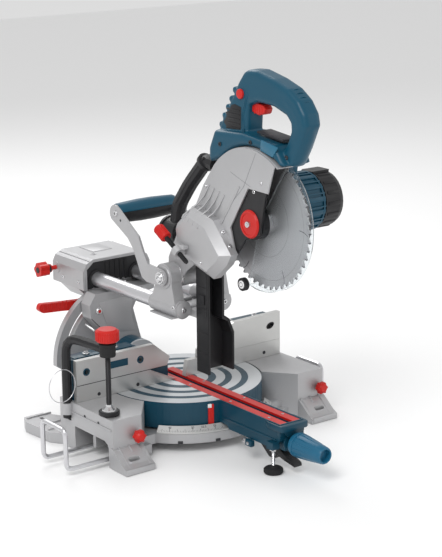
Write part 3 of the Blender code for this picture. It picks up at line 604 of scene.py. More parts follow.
# %% Side plate, rim, box and ribs
SHELL = 119.0
hinge_at = (HINGE.y, HINGE.z)
blade_at = (BLADE.y, BLADE.z)
guard = bmesh.new()
side = arc(blade_at, SHELL - 1, 122, 42, 24)
side += [(-111, 437), (-88, 398), (-46, 360), (-12, 300)] + arc(hinge_at, 20, 35, -110, 14)
side += [(-62, 286), (-104, 316), (-150, 316), (-181, 327), (-192, 340), (-180, 380),
         (-225, 449), (-273, 448)]
flat(guard, "yz", -34.5, -31, side, 0.7)
flat(guard, "yz", -32, 11.7, arc(blade_at, SHELL, 125, 8, 40)
     + arc(blade_at, SHELL - 2.5, 8, 125, 40), 0.5)
box = bmesh.new()
outline = [(-153, 293), (-187, 322), (-198, 340), (-152, 388), (-98, 402), (-56, 366),
           (-64, 324), (-100, 307)]
flat(box, "yz", -33, -47, outline)
outer = min(box.faces, key=lambda face: face.calc_center_median().x)
bmesh.ops.inset_individual(box, faces=[outer], thickness=12.5, depth=12.8, use_even_offset=True)
box.normal_update()
gather(guard, box)
piece("guard_casting", guard, cast, "head", "upper_guard", crease=28)

ribs = bmesh.new()
for i in range(4):
    y, z = -140 + 13 * i, 391 + 3.4 * i
    wire(ribs, [(-34.6, y - 26, z + 38), (-35.4, y - 14, z + 20), (-40, y - 4, z + 6),
                (-47, y, z), (-59.4, y + 10, z - 13), (-60, y + 13, z - 18)], 1.3)
flat(ribs, "yz", -34.2, -35.6, [(-158, 380), (-155.5, 382), (-203, 449), (-206, 448)], 0.5)
piece("guard_ribs", ribs, cast, "head")

# Thin strips in the darker copy of the casting colour: painted shade along lines on the guard's
# side
seam_shade = bmesh.new()
flat(seam_shade, "yz", -34.4, -34.75, [(-245.2, 506), (-244.5, 506.2), (-214.6, 450.2), (-173.6, 409.2),
                                  (-174.2, 408.6), (-215.2, 449.8)])
flat(seam_shade, "yz", -34.4, -34.75, [(-232, 452.4), (-231.8, 453), (-182, 468.6), (-182.2, 468)])
piece("guard_seam_shade", seam_shade, cast_painted_shade, "head")

bolts = bmesh.new()
for y, z, x in ((-187, 352, -40), (-169, 371, -40)):
    screw(bolts, (x, y, z), (0, -0.72, 0.69), 3.4)
for y, z in ((-118, 436), (-258, 462)):
    screw(bolts, (-34.9, y, z), (-1, 0, 0), 2.8)
screw(bolts, (-60.2, -136, 318), (-1, 0, 0), 2.6)
piece("guard_screws", bolts, steel, "head")

# %% [markdown]
# ## The handle
#
# The handle is one soft moulding: a round grip, a flat cheek behind it and a broad body
# over the guard. The parts are made roughly, merged into one skin by a voxel remesh, and
# smoothed, which gives the melted joints that a moulding has.

# %% Rough shapes of the handle
rough = bmesh.new()
grip = [(-291, 590), (-309, 579), (-320, 566), (-322.5, 553), (-316, 536), (-308, 521),
        (-300, 507)]
wire(rough, [(0, y, z) for y, z in grip], 17.2, resolution=10)
for y, z in (grip[0], grip[-1]):
    bmesh.ops.create_uvsphere(rough, u_segments=24, v_segments=12, radius=16.8,
                              matrix=Matrix.Translation((0, y, z)))
limb = [(-190, 622), (-201, 627), (-222, 628), (-264, 619), (-298, 608), (-321, 593),
        (-336, 574), (-340, 556), (-323, 520), (-305, 490), (-285, 510), (-297, 530),
        (-304, 546), (-303, 557), (-293, 567), (-262, 577), (-224, 579), (-204, 572)]
flat(rough, "yz", -16.8, 16.8, limb, 7.5, 4)
cheek = [(-119, 474), (-120, 500), (-128, 520), (-136, 541), (-152, 563), (-166, 584),
         (-178, 605), (-192, 622), (-214, 624), (-215, 596), (-204, 574), (-202, 540),
         (-200, 517), (-170, 506)]
flat(rough, "yz", -16.8, 16.8, cheek, 5.5, 3)
for y, z in ((-167, 592), (-158, 577), (-149, 563), (-140, 549), (-132, 534), (-126, 519)):
    drum(rough, (-15, y, z), (15, y, z), 5.6, sides=20, soft=2)
over_guard = arc(blade_at, SHELL + 0.8, 125, 50, 24)
flat(rough, "yz", -29.6, 29.6, over_guard + [(-118, 474), (-118, 498), (-132, 527), (-200, 531),
                                             (-280, 523), (-303, 494)], 7, 3)
flat(rough, "yz", 12.5, 33.6, [(-262, 455), (-226, 462), (-180, 447), (-130, 431), (-114, 442),
                               (-120, 480), (-200, 518), (-270, 505)], 3)
bmesh.ops.recalc_face_normals(rough, faces=rough.faces)

# %% Merge them into one smooth skin
skin = bpy.data.meshes.new("handle_rough")
rough.to_mesh(skin)
rough.free()
holder = bpy.data.objects.new("handle_rough", skin)
bpy.context.scene.collection.objects.link(holder)
merge = holder.modifiers.new("merge", "REMESH")
merge.mode = "VOXEL"
merge.voxel_size = 1.6
melt = holder.modifiers.new("melt", "SMOOTH")
melt.factor = 0.5
melt.iterations = 14
ready = holder.evaluated_get(bpy.context.evaluated_depsgraph_get())
handle = bmesh.new()
handle.from_mesh(ready.to_mesh())
bpy.data.objects.remove(holder)
piece("handle_moulding", handle, blue, "head", "handle_shell", crease=60)

# %% Vent panel, window, grip line, strip and screw
vents = bmesh.new()
panel = [(-172, 571), (-187.5, 568), (-187, 530), (-162, 518), (-147, 527), (-150, 534),
         (-143, 540), (-151, 550), (-149, 556), (-158, 560), (-163, 569)]
flat(vents, "yz", -17.4, -14, panel, 0.6)
for i in range(6):
    z = 526 + 7 * i
    block(vents, (-18.2, -184, z), (-15, -158 + 1.2 * i, z + 2.2), 0.5)
piece("vent_panel", vents, black, "head")

ridge = bmesh.new()
for dy in (0, 3.2):
    wire(ridge, [(-13, -218.5 + dy, 624.5), (-15.6, -213 + dy, 608), (-16.6, -200 + dy, 580),
                 (-16.8, -193 + dy, 556), (-17, -194 + dy, 536), (-21, -199 + dy, 530.5)], 0.8)
for y, z in ((-300, 607.5), (-308, 603), (-316, 597.5), (-323, 591)):
    wire(ridge, [(-12, y + 3, z - 8), (-7, y, z - 1.6), (0, y, z - 0.2), (7, y, z - 1.6),
                 (12, y + 3, z - 8)], 0.7)
piece("handle_ridges", ridge, blue, "head", crease=50)

window = bmesh.new()
flat(window, "yz", -30.6, -27.5, [(-252, 528), (-292, 521), (-280, 504), (-250, 511)], 1.5)
pale = new_finish("pale_window", "blue_plastic", (0.02, 0.14, 0.23), 0.3, drift=0.2, coat=0.2)
piece("lamp_window", window, pale, "head")

bits = bmesh.new()
screw(bits, (-17.2, -297, 505), (-1, 0, 0), 3.6)
screw(bits, (-30.1, -150, 507), (-1, 0, 0), 3.4)
screw(bits, (-30.1, -226, 520), (-1, 0, 0), 3.2)
flat(bits, "yz", -14, 14, [(-222, 532), (-284, 526), (-284, 530), (-222, 536)], 1.2)
piece("handle_screws", bits, ink, "head")

# %% Trigger and lock-off button, moulded with soft edges
lever = bmesh.new()
flat(lever, "yz", -8, 8, [(-200, 573), (-214, 577), (-230, 575), (-235, 569), (-232, 562),
                          (-219, 558), (-203, 562)], 1.8, 3)
for i in range(4):
    block(lever, (-8.5, -228 + 6 * i, 560), (8.5, -226.6 + 6 * i, 573), 0.4)
piece("trigger_moulding", lever, red, "trigger", "trigger")
button = bmesh.new()
flat(button, "yz", -20.4, -13, arc((-186.5, 588.5), 8.0, 0, 330, 11), 1.4, 3)
piece("lock_off_moulding", button, red, "lock_off_button", "lock_off_button")

# %% [markdown]
# ## The clear guard
#
# The lower guard is two thin clear sheets joined by a rim. Light bends twice in every
# sheet, so the walls are kept thin and the rim narrow.

# %% Sheets and rim of the lower guard
clear_guard = bmesh.new()
sheet = arc(blade_at, 110.8, 123, 286, 48) + arc(blade_at, 27, 286, 123, 20)
flat(clear_guard, "yz", -10.4, -9.4, sheet)
flat(clear_guard, "yz", 3.4, 4.4, arc(blade_at, 110.0, 123, 286, 48)
     + arc(blade_at, 60, 286, 123, 20))
flat(clear_guard, "yz", -9.3, 3.3, arc(blade_at, 110.8, 123, 286, 48)
     + arc(blade_at, 109.4, 286, 123, 48))
for start in (123.5, 284.0):
    edge = arc(blade_at, 108.5, start, start + 1.4, 2) + arc(blade_at, 30, start + 1.4, start, 2)
    flat(clear_guard, "yz", -11.6, -10.4, edge)
piece("guard_sheets", clear_guard, clear, "lower_guard", "lower_guard")

# %% [markdown]
# ## The motor
#
# The barrel is ribbed along its length to lead the cooling air, and the black end cap
# has slots where the air goes in. One rib and one slot are drawn and copied round.

# %% Ribs and vents round the motor
barrel = bmesh.new()
block(barrel, (52, -4.2, 46.2), (151.5, 4.2, 49.0), 1.0)
block(barrel, (54, 8, 46.4), (151.5, 10.6, 48.6), 0.8)
repeat(barrel, (1, 0, 0), (0, 0, 0), 14)
turned(barrel, [(46, 1.6), (49.2, 1.6), (49.2, -1.6), (46, -1.6), (46, 1.6)], (148, 0, 0),
       (1, 0, 0), 56)
bmesh.ops.translate(barrel, vec=(0, MOTOR.y, MOTOR.z), verts=barrel.verts)
piece("motor_ribs", barrel, blue, "head")

vents = bmesh.new()
block(vents, (158, -3.0, 44.6), (184, 3.0, 48.0), 1.2)
repeat(vents, (1, 0, 0), (0, 0, 0), 16)
turned(vents, [(44, 1.4), (48.2, 1.4), (48.2, -1.4), (44, -1.4), (44, 1.4)], (154.5, 0, 0),
       (1, 0, 0), 56)
for radius in (14, 24, 34):
    turned(vents, [(radius, 0.8), (radius + 3, 0.8), (radius + 3, -1), (radius, -1),
                   (radius, 0.8)], (196.4, 0, 0), (1, 0, 0), 48)
bmesh.ops.translate(vents, vec=(0, MOTOR.y, MOTOR.z), verts=vents.verts)
block(vents, (150, MOTOR.y - 13, MOTOR.z + 47), (188, MOTOR.y + 13, MOTOR.z + 49.4), 0.8)
piece("motor_cap_ribs", vents, black, "head")

# %% [markdown]
# ## The carrying handle
#
# The grip is two half shells, blue above and black below, a little fatter in the
# middle. A whole barrel is turned, then cut in two with a bisecting plane.

# %% Two half shells, bolts and the arms' edges
GRIP = middle("carry_grip")
for name, mat, keep in (("grip_top", blue, 1), ("grip_bottom", black, -1)):
    shell = bmesh.new()
    turned(shell, [(0, 58.2), (15.6, 58.2), (16.6, 56.6), (17.6, 40), (18.8, 14), (18.8, -14),
                   (17.6, -40), (16.6, -56.6), (15.6, -58.2), (0, -58.2)],
       (0, 0, 0), (1, 0, 0), 48)
    slant = Matrix.Rotation(radians(-12), 3, "X") @ Vector((0, 0, 1))
    bmesh.ops.bisect_plane(shell, geom=shell.verts[:] + shell.edges[:] + shell.faces[:],
                           plane_co=(0, 0, 0.25 * keep), plane_no=slant * keep,
                           clear_inner=True)
    rim = [edge for edge in shell.edges if edge.is_boundary]
    bmesh.ops.holes_fill(shell, edges=rim)
    bmesh.ops.translate(shell, vec=(0, GRIP.y, GRIP.z), verts=shell.verts)
    piece(name, shell, mat, "head", *(["carry_grip"] if keep == 1 else []))

bolts = bmesh.new()
for side in (-1, 1):
    screw(bolts, (side * 62.8, 100, 358), (side, 0, 0), 5.2)
    drum(bolts, (side * 62.3, HINGE.y, HINGE.z), (side * 63.6, HINGE.y, HINGE.z), 12, soft=0.4)
    screw(bolts, (side * 65.2, HINGE.y, HINGE.z), (side, 0, 0), 7.5)
    screw(bolts, (side * 57.0, -56, 226), (side, 0, 0), 4.0)
piece("arm_bolts", bolts, steel, "head")
dots = bmesh.new()
for side in (-1, 1):
    drum(dots, (side * 62.2, 86, 348), (side * 62.7, 86, 348), 2.2)
piece("arm_dots", dots, ink, "head")

# %% [markdown]
# ## Hinge, carriage and rails
#
# Where the head turns there are washers, a coiled return spring in its cup, and a
# bolted cap over each rail sleeve.

# %% Spring, washers and sleeve caps
spring = bmesh.new()
coil = []
for i in range(0, 24 * 4 + 1):
    a = 2 * pi * i / 24
    coil.append((-35 + 11.5 * i / 96 * 0.35, HINGE.y + 21.5 * cos(a), HINGE.z + 21.5 * sin(a)))
wire(spring, coil, 1.0)
piece("return_spring", spring, steel, "head")

washers = bmesh.new()
for side in (-1, 1):
    turned(washers, [(14, 1.2), (19, 1.2), (19.6, 0.5), (19.6, -0.6), (14, -0.6), (14, 1.2)],
           (side * 56.4, HINGE.y, HINGE.z), (side, 0, 0), 40)
    drum(washers, (side * 42, -63.2, 221), (side * 42, -61.5, 221), 13.6, soft=0.6)
    block(washers, (side * 42 - 17, -52, 205.2), (side * 42 + 17, 10, 208), 0.8)
block(washers, (-30, -52, 218.6), (30, -20, 221.5), 1.2)
block(washers, (-9, -18, 218.6), (9, 8, 226), 1.6)
piece("carriage_caps", washers, cast, "carriage")

screws = bmesh.new()
for x in (-42, 42):
    for y in (-40, -4):
        screw(screws, (x, y, 204.9), (0, 0, -1), 3.4)
    screw(screws, (x, -63.6, 221), (0, -1, 0), 4.6)
for x, y in ((-24, -46), (24, -46), (0, 2)):
    screw(screws, (x, y, 221.8 if y < 0 else 226.3), (0, 0, 1), 3.2)
piece("carriage_screws", screws, steel, "carriage")

# Dark discs at the holes in the carriage caps: painted shade inside the holes
dark = bmesh.new()
for x in (-22, 0, 22):
    flat(dark, "xy", 218.9, 219.25, [(x + 7 * cos(a), -8 + 11 * sin(a) - 2)
                                     for a in [2 * pi * i / 24 for i in range(24)]])
piece("carriage_hole_shade", dark, ink, "carriage")

# %% [markdown]
# ## The rail housing and the neck
#
# The housing is a rounded hood with a rib along each shoulder, a small screw on top,
# seals where the rails come out, and a boss for the lock knob.

# %% Hood ribs, seals, bosses and screws
hood = bmesh.new()
for x in (-56, 56):
    wire(hood, [(x, 197, 254.0), (x, 294, 254.0)], 1.3)
flat(hood, "xz", 194.4, 196.6, [(-70, 204), (-70, 238.2), (-64.2, 250.4), (-50, 257.4),
                                (50, 257.4), (64.2, 250.4), (70, 238.2), (70, 204), (66.6, 204),
                                (66.6, 237.6), (61.8, 247.9), (49.2, 254.2), (-49.2, 254.2),
                                (-61.8, 247.9), (-66.6, 237.6), (-66.6, 204)], 0.5)
drum(hood, (-71.0, 285, 229), (-69, 285, 229), 11, soft=0.6)
drum(hood, (-29, 226, 256.6), (-29, 226, 257.6), 5.5, soft=0.3)
block(hood, (-20, 240, 256.6), (20, 288, 258.0), 0.6)
piece("hood_ribs", hood, cast, "bevel_arm")

seals = bmesh.new()
for x in (-42, 42):
    turned(seals, [(12.9, 2.6), (15.8, 2.3), (16.4, 1.7), (16.4, 0.9), (12.9, 0.9), (12.9, 2.6)],
           (x, 196.6, 221), (0, -1, 0), 40)
for i in range(5):
    block(seals, (-24 + 10 * i, 195.6, 212), (-19 + 10 * i, 197.2, 248), 0.5)
piece("rail_seals", seals, rubber, "bevel_arm")

fixings = bmesh.new()
screw(fixings, (-29, 226, 258.0), (0, 0, 1), 3.4)
for y in (212, 262):
    screw(fixings, (-70.3, y, 216), (-1, 0, 0), 3.2)
    screw(fixings, (70.3, y, 216), (1, 0, 0), 3.2)
screw(fixings, (-60, 164.6, 172), (0, -1, 0), 6.4)
screw(fixings, (0, 164.4, 81), (0, -1, 0), 9)
for x, z in ((-58, 150), (-66, 136)):
    drum(fixings, (x, 170, z), (x - 9, 186, z + 10), 2.6, soft=0.5)
piece("arm_fixings", fixings, steel, "bevel_arm")

# Thin dark sheets on the neck: painted shade in the notch and along a thin slanted line
notch = bmesh.new()
flat(notch, "xz", 164.5, 165.3, [(-34, 184), (-28, 186), (-25, 172), (-30, 170)], 0.2)
flat(notch, "xz", 164.7, 165.3, [(-44, 126), (-43, 127), (-75, 160.5), (-76, 160)])
piece("neck_recess_shade", notch, ink, "bevel_arm")

pad = bmesh.new()
flat(pad, "xz", 164.2, 166,
     [(-38, 128), (15, 124), (6, 162), (14, 186), (-20, 190), (-60, 186)], 0.6)
piece("neck_panel", pad, cast, "bevel_arm")

# %% Bevel lever and its hub, the star knob's collar, and the bolt through the slot
lock = bmesh.new()
turned(lock, [(0, 2.2), (5.2, 2.2), (5.8, 1.4), (5.8, 0), (0, 0)], (-60, 227.2, 172), (0, 1, 0), 6)
piece("lever_bolt", lock, steel, "bevel_lever")
ridges = bmesh.new()
for i in range(7):
    x = -92 - 8 * i
    wire(ridges, [(x, 217.0, 173), (x - 1, 216.8, 186.4 - 0.2 * i)], 0.9)
piece("lever_ribs", ridges, red, "bevel_lever")
collar = bmesh.new()
turned(collar, [(4.2, 10), (7.9, 10), (8.4, 9), (8.4, 2), (7, 0), (4.2, 0), (4.2, 10)],
       (-83.5, 285, 229), (-1, 0, 0), 28)
turned(collar, [(0, 0.8), (5, 0.8), (5.4, 0), (0, 0)], (-108.4, 285, 229), (-1, 0, 0), 24)
piece("lock_collar", collar, black, "slide_lock_knob")

# %% [markdown]
# ## Depth stop
#
# A red ribbed nut on a black threaded rod. The thread is a stack of turned rings, close
# enough at this size to look like a helix.

# %% Knob and threaded rod
top, tip = Vector((-70.5, -48, 352)), Vector((-70.5, -113, 316))
way = (top - tip).normalized()
nut = bmesh.new()
drum(nut, top - way * 12, top + way * 14, 8.6, sides=32, soft=1.2)
ring = bmesh.new()
block(ring, (-0.7, 7.9, -11), (0.7, 9.4, 12.6), 0.4)
repeat(ring, (0, 0, 1), (0, 0, 0), 18)
gather(nut, ring, Matrix.Translation(top) @ upright(way))
piece("depth_knob", nut, red, "depth_screw", "depth_screw")
rod = bmesh.new()
length = (top - tip).length - 12
profile = [(0, length)]
for i in range(int(length / 1.5)):
    profile += [(3.9, length - 1.5 * i), (3.2, length - 1.5 * i - 0.75)]
turned(rod, profile + [(3.2, 0), (0, 0)], tip, way, 24)
piece("depth_rod", rod, black, "depth_screw")
hook = bmesh.new()
middle_eye = tip + way * 28
turned(hook, [(4.3, 6), (8.6, 6), (9.0, 5.4), (9.0, -5.4), (8.6, -6), (4.3, -6), (4.3, 6)],
       middle_eye, way, 36)
block(hook, (-71, middle_eye.y - 16, middle_eye.z + 5),
      (-60, middle_eye.y - 3, middle_eye.z + 11), 1)
piece("depth_hook", hook, cast, "head")
# %% [markdown]
# ## The work clamp
#
# A black bent post carries a threaded spindle. Turning the red ribbed knob presses a
# black pad on the work. A bright cone joins the spindle to the pad.

# %% Knob, spindle, cone and pad
CLAMP = middle("clamp_spindle")
foot_of = (CLAMP.x, CLAMP.y, 0)
knob = bmesh.new()
turned(knob, [(0, 224), (14.5, 223.8), (17.6, 221.4), (18.2, 219), (18.2, 207), (17, 204),
              (9, 202.2), (0, 202.2)], (0, 0, 0), (0, 0, 1), 48)
rib = bmesh.new()
block(rib, (-0.85, 17.4, 205.6), (0.85, 19.0, 220.6), 0.5)
repeat(rib, (0, 0, 1), (0, 0, 0), 30)
gather(knob, rib)
bmesh.ops.translate(knob, vec=foot_of, verts=knob.verts)
piece("clamp_knob", knob, red, "clamp_spindle", "clamp_spindle")

spindle = bmesh.new()
profile = [(0, 202.4), (7.6, 202.4), (7.6, 200.7), (4.5, 200.6)]
for i in range(54):
    profile += [(4.5, 200.2 - 1.9 * i), (3.9, 199.25 - 1.9 * i)]
turned(spindle, profile + [(3.9, 96), (0, 96)], foot_of, (0, 0, 1), 28)
turned(spindle, [(0, 89.2), (15.4, 89.2), (17, 88), (17, 83.4), (16.2, 82), (0, 82)], foot_of,
       (0, 0, 1), 40)
piece("clamp_screw", spindle, black, "clamp_spindle")
cone = bmesh.new()
turned(cone, [(0, 99), (5.2, 99), (5.6, 96), (8.4, 93.6), (11.5, 91.4), (12, 89.3), (0, 89.3)],
       foot_of, (0, 0, 1), 36)
piece("clamp_cone", cone, steel, "clamp_spindle")

lug = bmesh.new()
turned(lug, [(4.9, 200.3), (13.2, 200.3), (13.8, 199.4), (13.8, 196), (12.9, 195.2),
             (12.9, 181), (12.3, 179), (4.9, 179), (4.9, 200.3)], foot_of, (0, 0, 1), 40)
piece("clamp_collar", lug, rubber, "clamp_post")

# %% [markdown]
# ## Fences
#
# The fixed fences are ground flat and held by small black screws. The taller sliding
# fence on each side is held on a painted casting that shows through its holes.

# %% Screws, hole linings, a blank label and a joint line darkened with painted shadow
fences = bmesh.new()
for x in (-170, -93, 92, 176):
    turned(fences, [(0, 0.1), (1.4, 0.1), (1.6, 0.5), (3.0, 0.5), (3.2, 0), (0, 0)],
           (x, -0.05, 87.8 if x < 0 else 90), (0, -1, 0), 24)
# A dark strip along the joint on the left fence: the gap there, with painted shadow
flat(fences, "xz", -0.35, 0.2, [(-211.6, 108.5), (-33, 108.5), (-33, 109.5), (-211.6, 109.5)])
piece("fence_screws_and_shadow_line", fences, ink, "base")
for side, spots in (("left", ((-193, 130), (-87, 130))),):
    linings = bmesh.new()
    for x, z in spots:
        turned(linings, [(4.4, 0.5), (6.4, 0.5), (6.6, 0), (6.6, -0.4), (4.4, -0.4), (4.4, 0.5)],
               (x, 0, z), (0, -1, 0), 28)
        block(linings, (x - 4.6, 8.5, z - 4.6), (x + 4.6, 9.8, z + 4.6), 0.3)
    flat(linings, "xz", -0.45, 0.2, [(-146, 126), (-112, 126), (-112, 138), (-146, 138)])
    piece("fence_label", linings, blue_paint, "subfence_left")
window = bmesh.new()
wire(window, [(190 + (7.2 * cos(a)) * cos(0.35) - 4.6 * sin(a) * sin(0.35), -0.1,
               137 + 7.2 * cos(a) * sin(0.35) + 4.6 * sin(a) * cos(0.35))
              for a in [2 * pi * i / 32 for i in range(32)]], 0.9, closed=True)
drum(window, (192, 3, 138), (192, 9, 138), 2.6, soft=0.5)
piece("fence_window", window, black, "subfence_right")

rails = bmesh.new()
block(rails, (-86, 10.3, 81.4), (-24, 14, 108.4), 0.6)
for x0, x1 in ((-204, -90), (90, 204)):
    block(rails, (x0, 18, 148.8), (x1, 42, 150.4), 0.6)
    for x in range(int(x0) + 12, int(x1), 26):
        block(rails, (x, 17.4, 88), (x + 3, 44, 149), 0.6)
piece("fence_webs", rails, blue_paint, "base")

tabs = bmesh.new()
for x in (-176, -120, 120, 176):
    drum(tabs, (x, 27, 150.2), (x, 27, 153.4), 6.4, sides=6, soft=0.5)
    screw(tabs, (x, 27, 153.8), (0, 0, 1), 4.0)
piece("fence_nuts", tabs, steel, "base")

loop = bmesh.new()
ring = [(-241 + 24.5 * cos(a), -2.2, 116.5 + 27.5 * sin(a)) for a in
        [2 * pi * i / 64 for i in range(64)]]
wire(loop, ring, 0.65, closed=True, resolution=3)
piece("wire_ring", loop, chrome, "base")

# %% [markdown]
# ## Table and arm
#
# Two red plastic strips line the slot that the blade drops into. They are screwed down
# and sit in a shallow frame. The red pointer's tip is white, and numbers are cut in the
# scale below it.

# %% Frame of the slot, screws, slot shadow and pointer tip
frame_rim = bmesh.new()
for side in (-1, 1):
    block(frame_rim, (side * 22.9 - 1.1, -289.6, 79.8), (side * 22.9 + 1.1, -136, 82.0), 0.5)
block(frame_rim, (-24, -290.2, 79.6), (24, -286.6, 82.2), 0.8)
block(frame_rim, (-25.2, -291.2, 62), (25.2, -284, 78.5), 2.2)
for side in (-1, 1):
    block(frame_rim, (side * 24.2 - 1.2, -280, 52), (side * 24.2 + 1.2, -140, 56), 0.8)
flat(frame_rim, "xy", 71, 81.0, [(-28, -262), (-28, -292), (-26.5, -297), (-22, -299.6),
                                 (22, -299.6), (26.5, -297), (28, -292), (28, -262), (24.2, -256),
                                 (24.2, -286.8), (-24.2, -286.8), (-24.2, -256)], 1.2)
flat(frame_rim, "xz", -296, -288, [(-20, 71.4), (-11, 60), (11, 60), (20, 71.4)], 1.5)
block(frame_rim, (-32, -226, 27.5), (-23.5, -210, 38.5), 2)
drum(frame_rim, (0, -291, 49), (0, -287, 49), 16, soft=1.2)
piece("arm_rim", frame_rim, blue_paint, "table")

fasteners = bmesh.new()
drum(fasteners, (-27.5, -211, 33), (-27.5, -203, 33), 4.8, soft=0.8)
drum(fasteners, (-27.5, -203, 33), (-27.5, -200, 33), 3.0, soft=0.5)
drum(fasteners, (-31, -218, 33), (-33, -218, 33), 3.2, sides=6, soft=0.4)
for y in (-250, -150, -40):
    for x in (-14, 14):
        screw(fasteners, (x, y, 81.0), (0, 0, 1), 2.3)
piece("arm_screws", fasteners, steel, "table")

pointer = bmesh.new()
flag = arc((0, 0), 133.9, 251.5, 255.5, 4) + arc((0, 0), 136.0, 255.5, 251.5, 4)
flat(pointer, "xy", 41, 76, flag, 0.3)
piece("pointer_flag", pointer, red, "table", "mitre_pointer")
tipped = bmesh.new()
flat(tipped, "xy", 70.5, 76.6, arc((0, 0), 134, 251.3, 253.8, 4)
     + arc((0, 0), 136.5, 253.8, 251.3, 4),
     0.3)
piece("pointer_tip", tipped, white, "table")

skirt = bmesh.new()
turned(skirt, [(126, 36.4), (132.6, 36.4), (133.2, 37), (133.2, 43.2), (126, 43.2), (126, 36.4)],
       (0, 0, 0), (0, 0, 1), 96)
piece("table_skirt", skirt, blue_paint, "table")

# %% The mitre scale leans outwards so that it reads from above
cone = bmesh.new()
edge = [(136.9, 34.9), (136.9, 42.6), (137.8, 43.3), (149.7, 35.1), (149.7, 34.9)]
steps = 53
rows = []
for i in range(steps + 1):
    a = radians(217 + 2 * i)
    rows.append([cone.verts.new((r * cos(a), r * sin(a), z)) for r, z in edge])
for one, two in zip(rows, rows[1:]):
    for i in range(len(edge)):
        j = (i + 1) % len(edge)
        cone.faces.new((one[i], two[i], two[j], one[j]))
cone.faces.new(rows[0])
cone.faces.new(rows[-1][::-1])
bmesh.ops.recalc_face_normals(cone, faces=cone.faces)
piece("scale_band", cone, scale_finish, "base", crease=20)

# %% Numbers on the mitre scale
numbers = bmesh.new()
for degrees in (-45, -30, -22.5, -15, 0, 15, 22.5, 30, 45):
    text = bpy.data.curves.new("number", "FONT")
    text.body = f"{abs(degrees):g}"
    text.size = 5.2
    text.extrude = 0.12
    text.align_x, text.align_y = "CENTER", "CENTER"
    holder = bpy.data.objects.new("number", text)
    mesh = bpy.data.meshes.new_from_object(holder)
    bpy.data.objects.remove(holder)
    part = bmesh.new()
    part.from_mesh(mesh)
    bpy.data.meshes.remove(mesh)
    a = radians(degrees)
    spot = (Matrix.Rotation(a, 4, "Z") @ Matrix.Translation((0, -141.2, 41.1)) @
            Matrix.Rotation(radians(34.6), 4, "X"))
    gather(numbers, part, spot)
piece("scale_numbers", numbers, ink, "base")

# %% [markdown]
# ## Mitre knob, detent lever and arm foot
#
# The knob is a tapered grip with raised ribs and a sunken end. Below it a black lever
# lifts the detent. A rubber disc on a threaded stem holds the arm off the bench.

# %% Knob ribs and sunken end
KNOB = middle("mitre_knob")
grip = bmesh.new()
turned(grip, [(0, 72), (9.5, 72), (10.4, 80.4), (12.4, 80.6), (13.8, 78.2), (15.2, 66),
              (18.4, 26), (18.8, 20), (17.6, 11), (12, 8), (8, 7.5), (8, 0.4), (0, 0.4)],
       (0, 0, 0), (0, 0, 1), 56)
rib = bmesh.new()
flat(rib, "xz", -1.2, 1.2, [(17.6, 20), (19.6, 23), (19.0, 32), (15.6, 64), (14.4, 64)], 0.5)
repeat(rib, (0, 0, 1), (0, 0, 0), 12)
gather(grip, rib)
turned(grip, [(17, 3), (19.4, 3), (19.9, 0), (19.4, -3), (17, -3), (17, 3)], (0, 0, 18),
       (0, 0, 1), 56)
bmesh.ops.transform(grip, matrix=Matrix.Translation((0, -290, KNOB.z)) @ upright((0, -1, 0)),
                    verts=grip.verts)
knob_blue = new_finish("knob_moulding", "blue_plastic", (0.010, 0.115, 0.21), 0.36, coat=0.1)
piece("knob_grip", grip, knob_blue, "mitre_knob", "mitre_knob")

lever = bmesh.new()
for i in range(5):
    y = -284 - 4 * i
    block(lever, (-7, y - 0.8, 20.5 - 1.6 * i), (7, y + 0.8, 24.5 - 1.5 * i), 0.4)
for x in (-8.4, 7.2):
    flat(lever, "yz", x, x + 1.2, [(-250, 36.5), (-262, 36), (-284, 24.5), (-303, 17.5),
                                   (-303, 14), (-280, 18), (-256, 27)], 0.3)
piece("detent_ribs", lever, black, "detent_lever")

stem = bmesh.new()
profile = [(0, 48.6)]
for i in range(26):
    profile += [(3.0, 48.4 - 1.4 * i), (2.5, 47.7 - 1.4 * i)]
turned(stem, profile + [(0, 11)], (-27, -277, 0), (0, 0, 1), 24)
drum(stem, (-27, -277, 37), (-27, -277, 41), 5.8, sides=6, soft=0.4)
piece("foot_stem", stem, steel, "arm_foot", "arm_foot")
disc = bmesh.new()
turned(disc, [(0, 12.2), (4.4, 12), (5.6, 9.6), (13.8, 8.6), (15.2, 7.4), (15.2, 1.6),
              (14.2, 0.3), (0, 0.3)], (-27, -277, 0), (0, 0, 1), 40)
rib = bmesh.new()
block(rib, (-0.7, 14.6, 1.8), (0.7, 15.6, 7.4), 0.3)
repeat(rib, (0, 0, 1), (0, 0, 0), 24)
gather(disc, rib, Matrix.Translation((-27, -277, 0)))
piece("foot_disc", disc, rubber, "arm_foot")

# %% [markdown]
# ## Base casting
#
# The wings have rounded front corners and shallow marks, the feet carry ribs between
# the toe and the leg, and the floor ring below the scale has notches where the detent
# drops in, drawn as dark blocks of painted shade.

# %% Ribs, pads, notches and marks on the base
trim = bmesh.new()
for side in (-1, 1):
    flat(trim, "yz", side * 214 - 2.9, side * 214 + 2.9,
         [(-98, 43), (-98, 30), (-94, 37.5), (-85, 42.2), (-85, 43)])
    for x in (169, 188, 207):
        flat(trim, "yz", side * x - 1.4, side * x + 1.4,
             [(-110, 37), (-116, 33.5), (-137, 15), (-146, 10.2), (-146, 8), (-110, 8)]
             if x not in (188,) else [(-110, 37), (-116, 33.5), (-122, 29), (-110, 20)], 0.5)
    block(trim, (side * 192 - 27, -149.5, 0.5), (side * 192 + 26, -144, 10.5), 1.6)
    for y in (70, 96, 140):
        block(trim, (side * 203 - 24, y - 1.5, 17), (side * 203 + 24, y + 1.5, 20.4), 0.8)
    block(trim, (side * 217.6 - 1.0, -106, 62.5), (side * 217.6 + 1.0, 44, 66), 0.8)
piece("base_ribs", trim, cast, "base")

